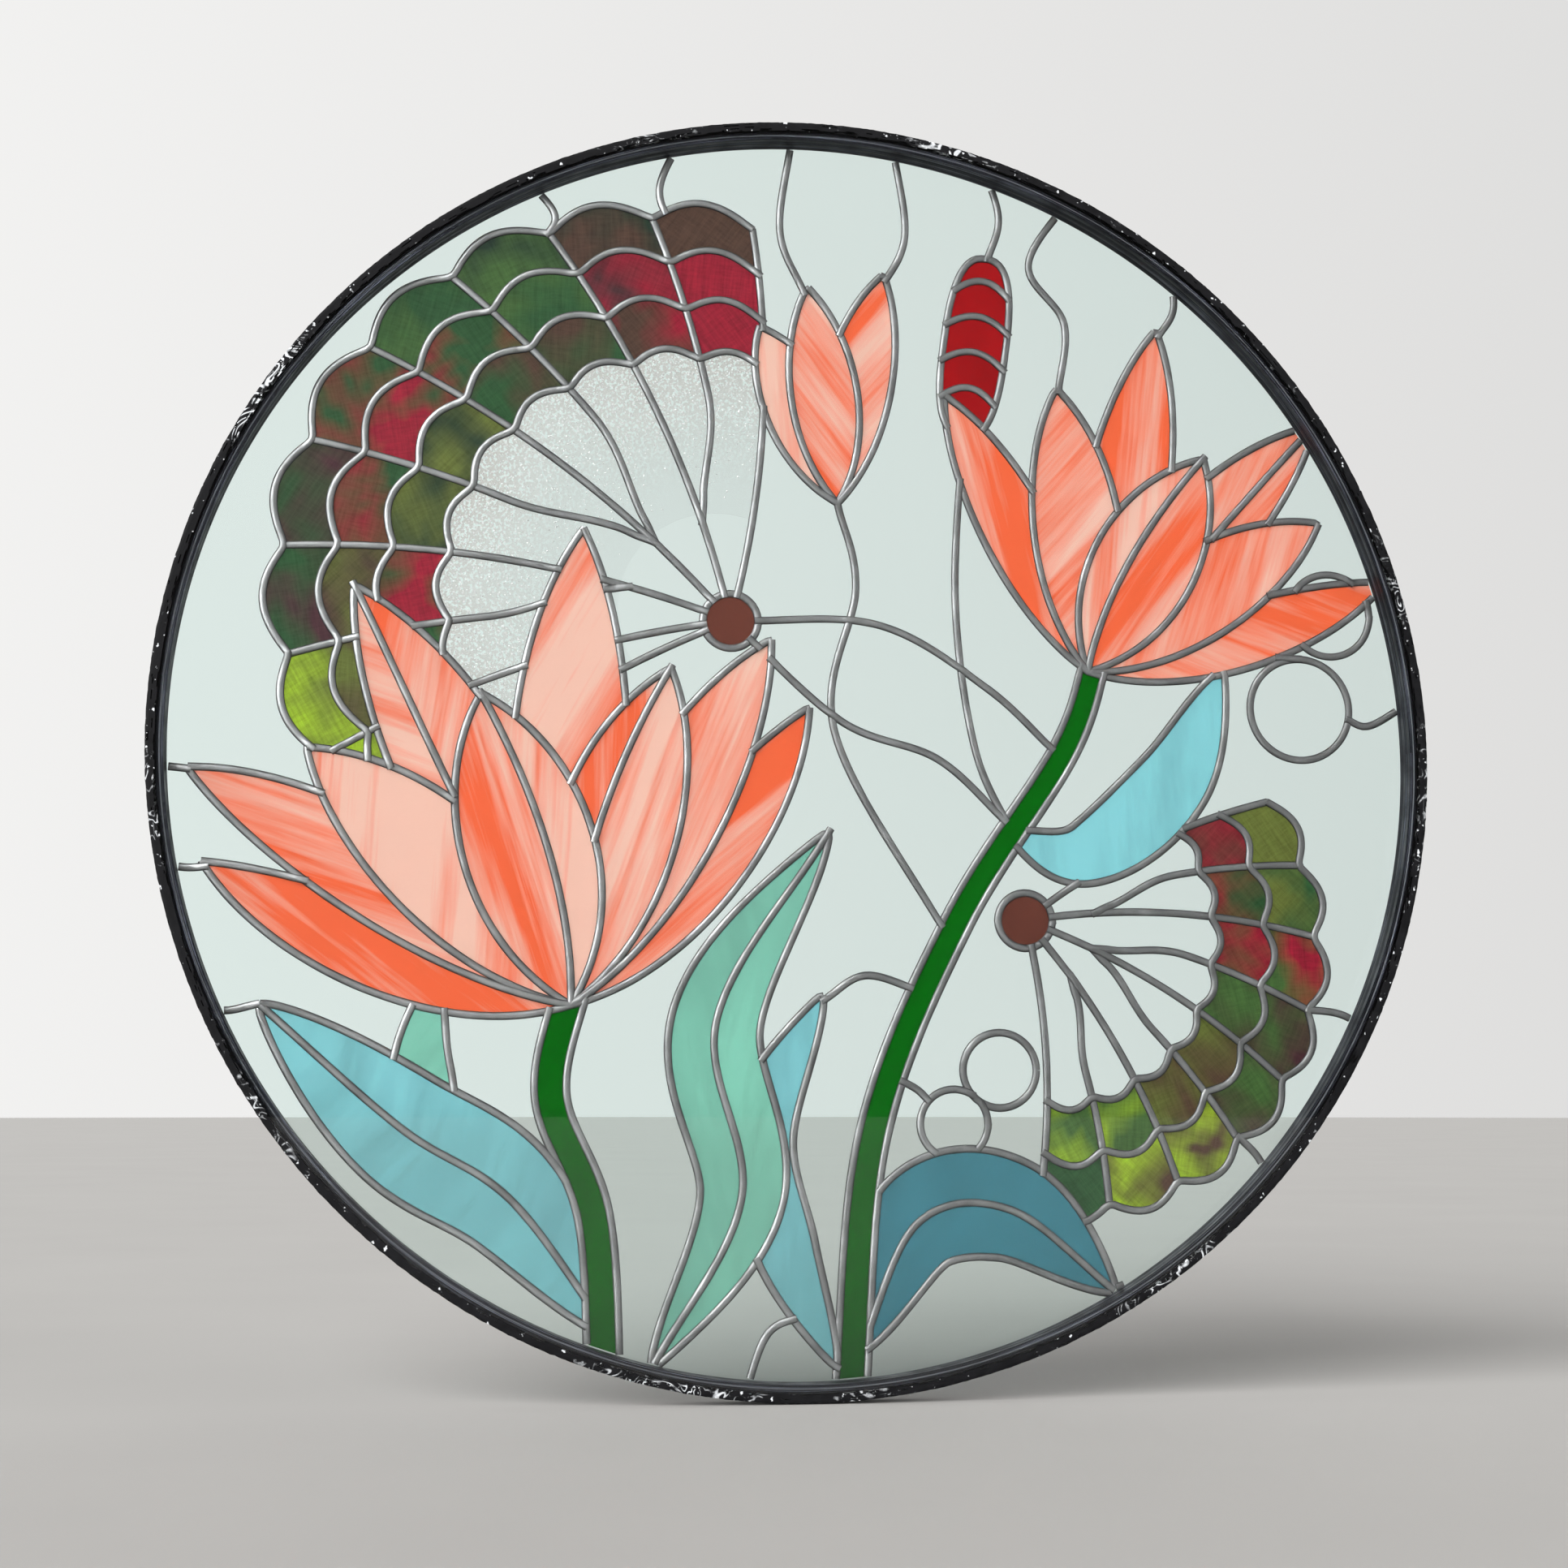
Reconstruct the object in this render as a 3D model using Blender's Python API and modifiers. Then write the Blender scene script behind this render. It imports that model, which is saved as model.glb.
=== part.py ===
"""Round sealed glazing unit, 950 mm across, with a leaded water-lily picture inside.

Modelled with +Z towards the viewer and then turned upright by one empty:
the front faces -Y, +Z is up, and the origin is the centre of the rear face.
"""
import math

import bmesh
import bpy
import numpy as np
from mathutils import Vector
from mathutils.geometry import delaunay_2d_cdt

# Sizes in metres
UNIT_DIAMETER = 0.950
PANE_THICKNESS = 0.004
CAVITY = 0.020
ARRIS = 0.0006
SEALANT_DEPTH = 0.0060
SEALANT_SET_BACK = 0.0005
SPACER_WIDTH = 0.0065
SPACER_CHAMFER = 0.0018
SEAM_GAP = 0.0003
LEAD_WIDTH = 0.0060
LEAD_HEIGHT = 0.0018
FILM_THICKNESS = 0.0003
FILM_LAP = 0.0016
FILM_SMALLEST = 0.0003
RIM_SIDES = 64
FACET = 0.0024
TRIM = 0.0009

# What follows from the sizes
UNIT_RADIUS = UNIT_DIAMETER / 2
SPACER_OUTER = UNIT_RADIUS - SEALANT_DEPTH - SEALANT_SET_BACK - SEAM_GAP
SPACER_INNER = SPACER_OUTER - SPACER_WIDTH
PICTURE_RADIUS = SPACER_INNER * math.cos(math.pi / RIM_SIDES) - SEAM_GAP
FILM_LEVEL = PANE_THICKNESS + SEAM_GAP
LEAD_LEVEL = FILM_LEVEL + FILM_THICKNESS + SEAM_GAP
FRONT_LEVEL = PANE_THICKNESS + CAVITY

# Colour, roughness, metallic, transmission
LOOKS = {
    "glass": ((0.80, 0.90, 0.87), 0.03, 0.0, 1.0),
    "spacer": ((0.16, 0.17, 0.18), 0.45, 0.8, 0.0),
    "sealant": ((0.012, 0.012, 0.013), 0.60, 0.0, 0.0),
    "lead": ((0.30, 0.31, 0.33), 0.38, 1.0, 0.0),
    "coral": ((0.95, 0.33, 0.20), 0.35, 0.0, 0.4),
    "stem": ((0.00, 0.11, 0.02), 0.30, 0.0, 0.4),
    "aqua": ((0.16, 0.56, 0.62), 0.30, 0.0, 0.5),
    "aqua_green": ((0.18, 0.52, 0.38), 0.30, 0.0, 0.5),
    "teal": ((0.05, 0.30, 0.38), 0.30, 0.0, 0.5),
    "pad": ((0.04, 0.10, 0.03), 0.35, 0.0, 0.4),
    "scarlet": ((0.50, 0.01, 0.01), 0.25, 0.0, 0.4),
    "maroon": ((0.13, 0.03, 0.03), 0.30, 0.0, 0.4),
}

# The picture is drawn in shares of the picture's radius, front motif first.
# A motif: its name, the outline that hides what is behind it, and its lead lines.
STEP = 0.012
motifs = []


def at(angle, reach=1.0, start=(0.0, 0.0)):
    turn = math.radians(angle)
    return start[0] + reach * math.cos(turn), start[1] + reach * math.sin(turn)


def even(points):
    """The same line with its points at even distances."""
    line = np.asarray(points, float)
    run = np.concatenate([[0], np.cumsum(np.linalg.norm(np.diff(line, axis=0), axis=1))])
    marks = np.linspace(0, run[-1], max(2, math.ceil(run[-1] / STEP) + 1))
    return np.column_stack([np.interp(marks, run, line[:, k]) for k in (0, 1)])


def smooth(points):
    """A curve that passes through the points."""
    p = np.asarray(points, float)
    p = np.vstack([2 * p[0] - p[1], p, 2 * p[-1] - p[-2]])
    curve = []
    for a, b, c, d in zip(p, p[1:], p[2:], p[3:]):
        for t in np.linspace(0, 1, 24, endpoint=False):
            curve.append(0.5 * (2 * b + (c - a) * t + (2 * a - 5 * b + 4 * c - d) * t ** 2
                                + (3 * b - a - 3 * c + d) * t ** 3))
    return even(curve + [p[-2]])


def bezier(a, b, c, d):
    t = np.linspace(0, 1, 40)[:, None]
    return (1 - t) ** 3 * a + 3 * (1 - t) ** 2 * t * b + 3 * (1 - t) * t ** 2 * c + t ** 3 * d


def ring(centre, radius):
    sides = max(24, int(2 * math.pi * radius / STEP))
    return np.array([at(360 * k / sides, radius, centre) for k in range(sides + 1)])


def closed(outline):
    return outline if np.allclose(outline[0], outline[-1]) else np.vstack([outline, outline[:1]])


def ribbon(spine, half):
    """The two sides of a band round a spine, with its half width at each point."""
    along = np.gradient(spine, axis=0)
    along /= np.linalg.norm(along, axis=1)[:, None]
    side = np.column_stack([-along[:, 1], along[:, 0]]) * half[:, None]
    return spine + side, spine - side


def place(name, look, cover, leads, coloured=None):
    """Add a motif behind those before it; its film fills the coloured outline or its cover."""
    motifs.append({"name": name, "look": look, "cover": cover, "leads": leads,
                   "coloured": cover if coloured is None else coloured})


def lily(name, base, angle, length, petals):
    """Petals that spring from one base: turn, length, width, bend and fold line of each."""
    base = np.asarray(base, float)
    for turn, share, breadth, bend, fold in petals:
        along = np.array(at(angle + turn))
        side = np.array([-along[1], along[0]])
        reach, width = length * share, length * breadth
        tip = base + reach * (along + side * bend)
        edges = []
        for s in (1, -1):
            low = base + along * 0.30 * reach + side * (s * width * 0.80 - bend * 0.10 * reach)
            high = base + along * 0.78 * reach + side * (s * width * 0.62 + bend * 0.35 * reach)
            edges.append(bezier(base, low, high, tip))
        outline = closed(even(np.vstack([edges[0], edges[1][::-1][1:]])))
        leads = [outline]
        if fold:
            low = base + along * 0.35 * reach + side * fold * width * 0.75
            high = base + along * 0.75 * reach + side * (fold * width * 0.35 + bend * 0.3 * reach)
            leads.append(even(bezier(base, low, high, tip)))
        place(name, "coral", outline, leads)


def stem(name, spine, start, stop):
    spine = smooth(spine)
    left, right = ribbon(spine, np.linspace(start, stop, len(spine)) / 2)
    place(name, "stem", closed(np.vstack([left, right[::-1]])), [left, right])


def blade(name, look, spine, width, vein=True):
    """A leaf with a point at each end."""
    spine = smooth(spine)
    swell = np.clip(np.sin(np.linspace(0, math.pi, len(spine))), 0, 1) ** 0.75
    left, right = ribbon(spine, width / 2 * swell)
    outline = closed(even(np.vstack([left, right[::-1][1:]])))
    place(name, look, outline, [outline] + ([spine] if vein else []))


def bulrush(name, foot, angle, length, width, bands):
    along = np.array(at(angle))
    side = np.array([-along[1], along[0]])
    middle = np.asarray(foot, float) + along * length / 2
    t = np.linspace(0, 2 * math.pi, 61)
    x = np.sign(np.cos(t)) * np.abs(np.cos(t)) ** 0.75 * length / 2
    y = np.sign(np.sin(t)) * np.abs(np.sin(t)) ** 0.75 * width / 2
    outline = closed(even(middle + x[:, None] * along + y[:, None] * side))
    leads = [outline]
    for k in range(1, bands):
        f = 2 * k / bands - 1
        half = width / 2 * (1 - abs(f) ** 2.7) ** 0.55
        centre = middle + along * f * length / 2
        leads.append(np.array([centre + side * half * s + along * 0.22 * width * (1 - s * s)
                               for s in np.linspace(-1, 1, 12)]))
    place(name, "scarlet", outline, leads)


def pad(name, hub, start, stop, lobes, reach, rows, bulge, curl, stretch, hub_radius):
    """A lily pad: ribs from a round hub, and a margin of lobed rows."""
    step = (stop - start) / lobes
    disc = ring(hub, hub_radius)
    place(name + "_hub", "maroon", disc, [disc])

    def spot(angle, share):
        part = (angle - start) / step
        lobe = abs(math.sin(math.pi * (part % 1.0))) if share > 0.3 else 0.0
        sway = 1 + stretch * math.sin(math.pi * (angle - start) / (stop - start))
        return at(angle + curl * (1 - share), reach * sway * share * (1 + bulge * lobe), hub)

    def rib(k):
        angle = start + k * step
        if k % 2 == 0 or k == lobes:
            return even([spot(angle, s) for s in np.linspace(0, 1, 30)])
        turn = step if k < lobes / 2 else -step
        return even([spot(angle + turn * max(0.0, 1 - (s - 0.24) / 0.32) ** 2, s)
                     for s in np.linspace(0.24, 1, 28)])

    ribs = [rib(k) for k in range(lobes + 1)]
    arcs = [even([spot(a, s) for a in np.linspace(start, stop, 14 * lobes)]) for s in rows]
    sides = [[spot(a, s) for s in np.linspace(rows[0], 1, 12)] for a in (start, stop)]
    margin = closed(np.vstack([sides[0], arcs[-1][1:], sides[1][::-1][1:], arcs[0][::-1][1:]]))
    whole = closed(np.vstack([ribs[0], arcs[-1][1:], ribs[-1][::-1][1:]]))
    place(name, "pad", whole, ribs + arcs, margin)


def inside(points, outline):
    """Which of the points lie inside the closed outline."""
    x, y = points[:, 0][:, None], points[:, 1][:, None]
    x0, y0, x1, y1 = outline[:-1, 0], outline[:-1, 1], outline[1:, 0], outline[1:, 1]
    spans = (y0 > y) != (y1 > y)
    rise = np.where(y1 == y0, 1.0, y1 - y0)
    return (spans & (x < x0 + (y - y0) * (x1 - x0) / rise)).sum(1) % 2 == 1


def in_view(line, cover):
    """The stretches of a line that a cover in front leaves in view."""
    hidden = inside(line, cover)
    stretches, run = [], []
    for k, point in enumerate(line):
        if k and hidden[k] != hidden[k - 1]:
            a, b = line[k - 1], line[k]
            for _ in range(12):
                middle = (a + b) / 2
                if inside(middle[None], cover)[0] == hidden[k - 1]:
                    a = middle
                else:
                    b = middle
            if hidden[k]:
                stretches.append(np.array(run + [(a + b) / 2]))
                run = []
            else:
                run = [(a + b) / 2]
        if not hidden[k]:
            run.append(point)
    if len(run) > 1:
        stretches.append(np.array(run))
    return [s for s in stretches if np.linalg.norm(np.diff(s, axis=0), axis=1).sum() > STEP]


def draw_picture():
    full = [(4, 0.66, 0.25, 0.03, -0.35), (30, 0.74, 0.22, 0.09, 0), (-24, 0.72, 0.23, -0.05, 0.4),
            (14, 0.96, 0.23, 0.05, 0.3), (-9, 0.98, 0.22, -0.05, 0), (-38, 0.86, 0.19, -0.02, 0),
            (43, 0.90, 0.18, 0.08, 0), (-56, 0.78, 0.16, 0.12, 0), (66, 0.78, 0.16, -0.14, 0)]
    half_open = [(-4, 0.70, 0.27, -0.02, 0.35), (26, 0.80, 0.23, 0.06, 0),
                 (-30, 0.80, 0.23, -0.05, 0), (10, 1.0, 0.22, 0.03, 0),
                 (-16, 0.98, 0.22, -0.05, -0.2), (50, 0.86, 0.18, 0.02, 0),
                 (-54, 0.90, 0.17, 0.10, 0)]
    bud = [(0, 0.92, 0.26, 0.03, 0), (13, 0.80, 0.28, 0.08, 0), (-15, 1.0, 0.26, -0.04, 0)]
    lily("left_lily", (-0.37, -0.42), 101, 0.78, full)
    lily("right_lily", (0.47, 0.13), 66, 0.60, half_open)
    stem("left_stem", [(-0.365, -0.375), (-0.40, -0.56), (-0.33, -0.75), (-0.31, -1.04)], 0.05, 0.05)
    stem("right_stem", [(0.49, 0.17), (0.43, 0.0), (0.25, -0.28), (0.11, -0.62), (0.07, -1.04)],
         0.04, 0.05)
    lily("bud", (0.055, 0.40), 96, 0.40, bud)
    bulrush("bulrush", (0.265, 0.52), 82, 0.31, 0.105, 5)
    blade("leaf_far_left", "aqua", [(-0.30, -0.93), (-0.46, -0.72), (-0.63, -0.61), (-0.85, -0.42)],
          0.19)
    blade("leaf_behind_left", "aqua_green",
          [(-0.33, -0.80), (-0.56, -0.66), (-0.60, -0.52), (-0.58, -0.36)], 0.11, False)
    blade("leaf_middle", "aqua_green",
          [(-0.24, -0.98), (-0.10, -0.72), (-0.14, -0.44), (0.04, -0.14)], 0.15)
    blade("leaf_behind_middle", "aqua",
          [(0.05, -0.98), (-0.03, -0.80), (-0.07, -0.62), (0.03, -0.40)], 0.11, False)
    blade("leaf_low_right", "teal",
          [(0.085, -0.96), (0.18, -0.76), (0.33, -0.74), (0.50, -0.87)], 0.17)
    blade("leaf_right", "aqua",
          [(0.33, -0.14), (0.46, -0.17), (0.61, -0.05), (0.70, 0.14)], 0.13, False)
    pad("left_pad", (-0.12, 0.20), 87, 214, 9, 0.66, (0.64, 0.765, 0.885, 1.0), 0.045, -12, 0.10,
        0.045)
    pad("right_pad", (0.36, -0.28), -88, 26, 8, 0.455, (0.64, 0.82, 1.0), 0.055, 12, 0.08, 0.045)
    for centre, radius in (((0.83, 0.075), 0.085), ((0.885, 0.235), 0.07),
                           ((0.315, -0.52), 0.06), ((0.24, -0.605), 0.055)):
        disc = ring(centre, radius)
        place(None, None, disc, [disc])
    for line in (
            [(-0.969, -0.056), (-0.985, -0.054), (-1.03, -0.05)],
            [(-0.93, -0.208), (-0.97, -0.21), (-1.02, -0.20)],
            [(-0.85, -0.42), (-0.91, -0.43), (-0.97, -0.40)],
            [(0.70, -0.62), (0.74, -0.66), (0.76, -0.71)],
            [(0.82, -0.42), (0.89, -0.43), (0.95, -0.47)],
            [(0.0, 0.755), (-0.04, 0.86), (-0.02, 1.02)],
            [(0.125, 0.76), (0.17, 0.86), (0.15, 1.02)],
            [(0.055, 0.40), (0.085, 0.26), (0.05, 0.02), (0.24, -0.32)],
            [(0.265, 0.53), (0.25, 0.24), (0.28, 0.0), (0.34, -0.14)],
            [(0.308, 0.82), (0.33, 0.90), (0.30, 1.0)],
            [(0.427, 0.595), (0.44, 0.72), (0.38, 0.82), (0.46, 0.95)],
            [(0.598, 0.70), (0.63, 0.76), (0.61, 0.86)],
            [(-0.12, 0.20), (0.12, 0.20), (0.30, 0.10), (0.42, -0.01)],
            [(-0.12, 0.20), (0.06, 0.04), (0.22, -0.02), (0.34, -0.13)],
            [(0.49, -0.865), (0.55, -0.85), (0.60, -0.86)],
            [(0.03, -0.41), (0.10, -0.37), (0.20, -0.40)],
            [(0.70, 0.13), (0.76, 0.16), (0.83, 0.16)],
            [(0.91, 0.06), (0.95, 0.05), (1.02, 0.09)],
            [(0.0, -0.90), (-0.06, -0.93), (-0.10, -1.04)],
            [(-0.47, 0.79), (-0.41, 0.86), (-0.46, 0.93)],
            [(-0.21, 0.84), (-0.24, 0.92), (-0.20, 1.02)],
            [(0.14, -0.53), (0.18, -0.55), (0.20, -0.57)]):
        place(None, None, None, [smooth(line)])


def thin(line, tolerance):
    """Drop the points that the rest of the line passes within the tolerance of."""
    if len(line) < 3:
        return line
    a, b = line[0], line[-1]
    chord = b - a
    size = np.hypot(*chord)
    if size < 1e-9:
        off = np.hypot(*(line - a).T)
    else:
        off = np.abs(chord[0] * (line[:, 1] - a[1]) - chord[1] * (line[:, 0] - a[0])) / size
    far = int(np.argmax(off[1:-1])) + 1
    if off[far] <= tolerance:
        return np.array([a, b])
    return np.vstack([thin(line[:far + 1], tolerance)[:-1], thin(line[far:], tolerance)])


def signed_area(loop):
    x, y = loop[:, 0], loop[:, 1]
    return 0.5 * float(np.sum(x * np.roll(y, -1) - np.roll(x, -1) * y))


def strip_pieces(line, half):
    """Convex pieces that cover a strip round the line, with blunt ends and corners."""
    pieces = []
    ahead = np.diff(line, axis=0)
    ahead /= np.linalg.norm(ahead, axis=1)[:, None]
    side = np.column_stack([-ahead[:, 1], ahead[:, 0]])
    start = [line[0] + side[0] * half, line[0] - side[0] * half]
    blunt = [line[0]]
    for k in range(len(ahead)):
        onward = min(k + 1, len(ahead) - 1)
        offset = side[k] * half
        renewed = side[onward] * half
        if onward > k and ahead[k] @ ahead[onward] > 0.7:
            offset = side[k] + side[onward]
            offset *= half / (offset @ side[k])
            renewed = offset
        else:
            blunt.append(line[k + 1])
        stop = [line[k + 1] + offset, line[k + 1] - offset]
        pieces.append(np.array([start[1], stop[1], stop[0], start[0]]))
        start = [line[k + 1] + renewed, line[k + 1] - renewed]
    for point in blunt:
        turns = np.arange(8) * math.pi / 4 + 0.2
        pieces.append(point + half * np.column_stack([np.cos(turns), np.sin(turns)]))
    return pieces


def triangles_of(polygons):
    """Triangles of the plane that no edge of the polygons crosses."""
    points, edges = [], []
    for polygon in polygons:
        first, count = len(points), len(polygon)
        points += [Vector(p) for p in polygon]
        edges += [(first + k, first + (k + 1) % count) for k in range(count)]
    found = delaunay_2d_cdt(points, edges, [], 0, 1e-7)
    return np.array([tuple(p) for p in found[0]]), np.array([tuple(f) for f in found[2]], int)


def border_loops(points, faces):
    """The closed borders of a set of triangles, the material on their left."""
    count = {}
    for a, b, c in faces:
        for edge in ((a, b), (b, c), (c, a)):
            count[edge] = count.get(edge, 0) + 1
    onward = {}
    for a, b in count:
        if (b, a) not in count:
            onward.setdefault(a, []).append(b)
    loops = []
    while onward:
        start = next(iter(onward))
        loop, here = [start], start
        while True:
            choices = onward[here]
            if len(choices) > 1 and len(loop) > 1:
                back = points[loop[-2]] - points[here]
                turn = [math.atan2(back[0] * v[1] - back[1] * v[0], back @ v) % (2 * math.pi)
                        for v in (points[k] - points[here] for k in choices)]
                following = choices.pop(int(np.argmax(turn)))
            else:
                following = choices.pop()
            if not choices:
                del onward[here]
            here = following
            if here == start:
                break
            loop.append(here)
        loops.append(points[loop])
    return loops


def tidy_loop(loop, tolerance):
    """Thin a closed loop, starting from its sharpest corner."""
    ahead = np.roll(loop, -1, axis=0) - loop
    behind = loop - np.roll(loop, 1, axis=0)
    sharp = (ahead * behind).sum(1) / (np.linalg.norm(ahead, axis=1)
                                       * np.linalg.norm(behind, axis=1) + 1e-12)
    loop = np.roll(loop, -int(np.argmin(sharp)), axis=0)
    far = int(np.argmax(np.linalg.norm(loop - loop[0], axis=1)))
    back = np.vstack([loop[far:], loop[:1]])
    return np.vstack([thin(loop[:far + 1], tolerance)[:-1], thin(back, tolerance)[:-1]])


def pieces_apart(faces):
    """Sort triangles into sets that share edges."""
    owner = {}
    for k, (a, b, c) in enumerate(faces):
        for edge in ((a, b), (b, c), (c, a)):
            owner.setdefault(tuple(sorted(edge)), []).append(k)
    links = [[] for _ in faces]
    for pair in owner.values():
        if len(pair) == 2:
            links[pair[0]].append(pair[1])
            links[pair[1]].append(pair[0])
    seen, groups = set(), []
    for k in range(len(faces)):
        if k in seen:
            continue
        group, queue = [], [k]
        seen.add(k)
        while queue:
            here = queue.pop()
            group.append(here)
            for other in links[here]:
                if other not in seen:
                    seen.add(other)
                    queue.append(other)
        groups.append(faces[group])
    return groups


def under_pieces(centres, pieces):
    """Which of the points lie under any of the convex pieces."""
    covered = np.zeros(len(centres), bool)
    for piece in pieces:
        near = ((centres >= piece.min(0)) & (centres <= piece.max(0))).all(1) & ~covered
        near = np.flatnonzero(near)
        if len(near):
            covered[near] = inside(centres[near], closed(piece))
    return covered


def inside_borders(centres, loops):
    kept = np.zeros(len(centres), bool)
    for loop in loops:
        kept ^= inside(centres, closed(loop))
    return kept


def drawn_in(loops, amount):
    """The area inside the loops less a strip along each of them, as separate pieces."""
    strips = [piece for loop in loops for piece in strip_pieces(closed(loop), amount)]
    points, faces = triangles_of(loops + strips)
    centres = points[faces].mean(1)
    kept = inside_borders(centres, loops) & ~under_pieces(centres, strips)
    return [[tidy_loop(loop, TRIM) for loop in border_loops(points, group)
             if abs(signed_area(loop)) > LEAD_WIDTH ** 2 / 4]
            for group in pieces_apart(faces[kept])]


def fill(loops):
    """Triangles between the loops, and only their own points."""
    points, faces = triangles_of(loops)
    return points, faces[inside_borders(points[faces].mean(1), loops)]


def picture_disc():
    turns = np.arange(RIM_SIDES) * 2 * math.pi / RIM_SIDES
    return PICTURE_RADIUS * np.column_stack([np.cos(turns), np.sin(turns)])


def lead_lines_in_view():
    lines = []
    for k, motif in enumerate(motifs):
        covers = [m["cover"] for m in motifs[:k] if m["cover"] is not None]
        for lead in motif["leads"]:
            stretches = [even(lead)]
            for cover in covers:
                stretches = [part for s in stretches for part in in_view(s, cover)]
            lines += [s * PICTURE_RADIUS for s in stretches]
    return lines


def lead_outline():
    """The borders of all lead strips joined, cut to the picture's edge."""
    pieces = []
    for line in lead_lines_in_view():
        pieces += strip_pieces(thin(line, FACET), LEAD_WIDTH / 2)
    disc = picture_disc()
    points, faces = triangles_of(pieces + [disc])
    centres = points[faces].mean(1)
    kept = under_pieces(centres, pieces) & inside(centres, closed(disc))
    loops = border_loops(points, faces[kept])
    smallest = LEAD_WIDTH ** 2 / 2
    return [tidy_loop(loop, TRIM) for loop in loops if abs(signed_area(loop)) > smallest]


def film_outlines():
    """The borders of each motif's coloured film, which ends under the lead."""
    disc = picture_disc()
    shown = [m for m in motifs if m["cover"] is not None]
    size, tolerance = PICTURE_RADIUS, FACET / PICTURE_RADIUS
    covers = [thin(m["cover"], tolerance)[:-1] * size for m in shown]
    coloured = [thin(m["coloured"], tolerance)[:-1] * size for m in shown]
    points, faces = triangles_of(covers + coloured + [disc])
    centres = points[faces].mean(1)
    label = np.full(len(faces), -1)
    for k in reversed(range(len(shown))):
        label[inside(centres, closed(covers[k]))] = -1
        if shown[k]["name"]:
            label[inside(centres, closed(coloured[k]))] = k
    label[~inside(centres, closed(disc))] = -1
    names = [m["name"] for m in shown]
    films = []
    for name in dict.fromkeys(n for n in names if n):
        mine = np.isin(label, [k for k, n in enumerate(names) if n == name])
        parts = []
        for group in pieces_apart(faces[mine]):
            borders = [tidy_loop(loop, TRIM) for loop in border_loops(points, group)
                       if abs(signed_area(loop)) > LEAD_WIDTH ** 2 / 4]
            if borders:
                parts += drawn_in(borders, LEAD_WIDTH / 2 - FILM_LAP)
        parts = [loops for loops in parts if sum(signed_area(b) for b in loops) > FILM_SMALLEST]
        parts.sort(key=lambda loops: -sum(signed_area(b) for b in loops))
        for k, loops in enumerate(parts):
            films.append((name + ("" if k == 0 else "_" + "bcdefgh"[k - 1]),
                          shown[names.index(name)]["look"], loops))
    return films


def material(look):
    made = bpy.data.materials.get(look)
    if made is None:
        colour, roughness, metallic, transmission = LOOKS[look]
        made = bpy.data.materials.new(look)
        made.use_nodes = True
        shader = made.node_tree.nodes["Principled BSDF"]
        shader.inputs["Base Color"].default_value = (*colour, 1.0)
        shader.inputs["Roughness"].default_value = roughness
        shader.inputs["Metallic"].default_value = metallic
        shader.inputs["Transmission Weight"].default_value = transmission
        made.diffuse_color = (*colour, 1.0)
    return made


def dress(obj, name, look, level, holder, collection):
    obj.name = name
    obj.data.name = name
    obj.data.materials.clear()
    obj.data.materials.append(material(look))
    for old in list(obj.users_collection):
        old.objects.unlink(obj)
    collection.objects.link(obj)
    obj.parent = holder
    obj.location = (0.0, 0.0, level)
    return obj


def add_pane(name, level, holder, collection):
    bpy.ops.mesh.primitive_cylinder_add(vertices=RIM_SIDES, radius=UNIT_RADIUS,
                                        depth=PANE_THICKNESS, rotation=(0.0, 0.0, 0.0))
    pane = bpy.context.object
    arris = pane.modifiers.new("arris", "BEVEL")
    arris.width = ARRIS
    arris.segments = 1
    arris.limit_method = "ANGLE"
    arris.angle_limit = math.radians(60)
    return dress(pane, name, "glass", level + PANE_THICKNESS / 2, holder, collection)


def add_turned(name, look, profile, level, holder, collection):
    """A ring turned round Z from a closed profile of radius and height."""
    form = bmesh.new()
    corners = [form.verts.new((r, 0.0, z)) for r, z in profile]
    for a, b in zip(corners, corners[1:] + corners[:1]):
        form.edges.new((a, b))
    mesh = bpy.data.meshes.new(name)
    form.to_mesh(mesh)
    form.free()
    obj = bpy.data.objects.new(name, mesh)
    screw = obj.modifiers.new("turn", "SCREW")
    screw.steps = RIM_SIDES
    screw.render_steps = RIM_SIDES
    screw.use_merge_vertices = True
    screw.merge_threshold = 0.00001
    return dress(obj, name, look, level, holder, collection)


def add_flat(name, look, loops, thickness, level, holder, collection):
    """A flat sheet cut to its borders and given its thickness upwards."""
    points, faces = fill(loops)
    mesh = bpy.data.meshes.new(name)
    mesh.from_pydata([(x, y, 0.0) for x, y in points.tolist()], [], faces.tolist())
    form = bmesh.new()
    form.from_mesh(mesh)
    loose = [v for v in form.verts if not v.link_faces]
    bmesh.ops.delete(form, geom=loose, context="VERTS")
    form.to_mesh(mesh)
    form.free()
    obj = bpy.data.objects.new(name, mesh)
    solid = obj.modifiers.new("thickness", "SOLIDIFY")
    solid.thickness = thickness
    solid.offset = 1.0
    return dress(obj, name, look, level, holder, collection)


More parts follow.
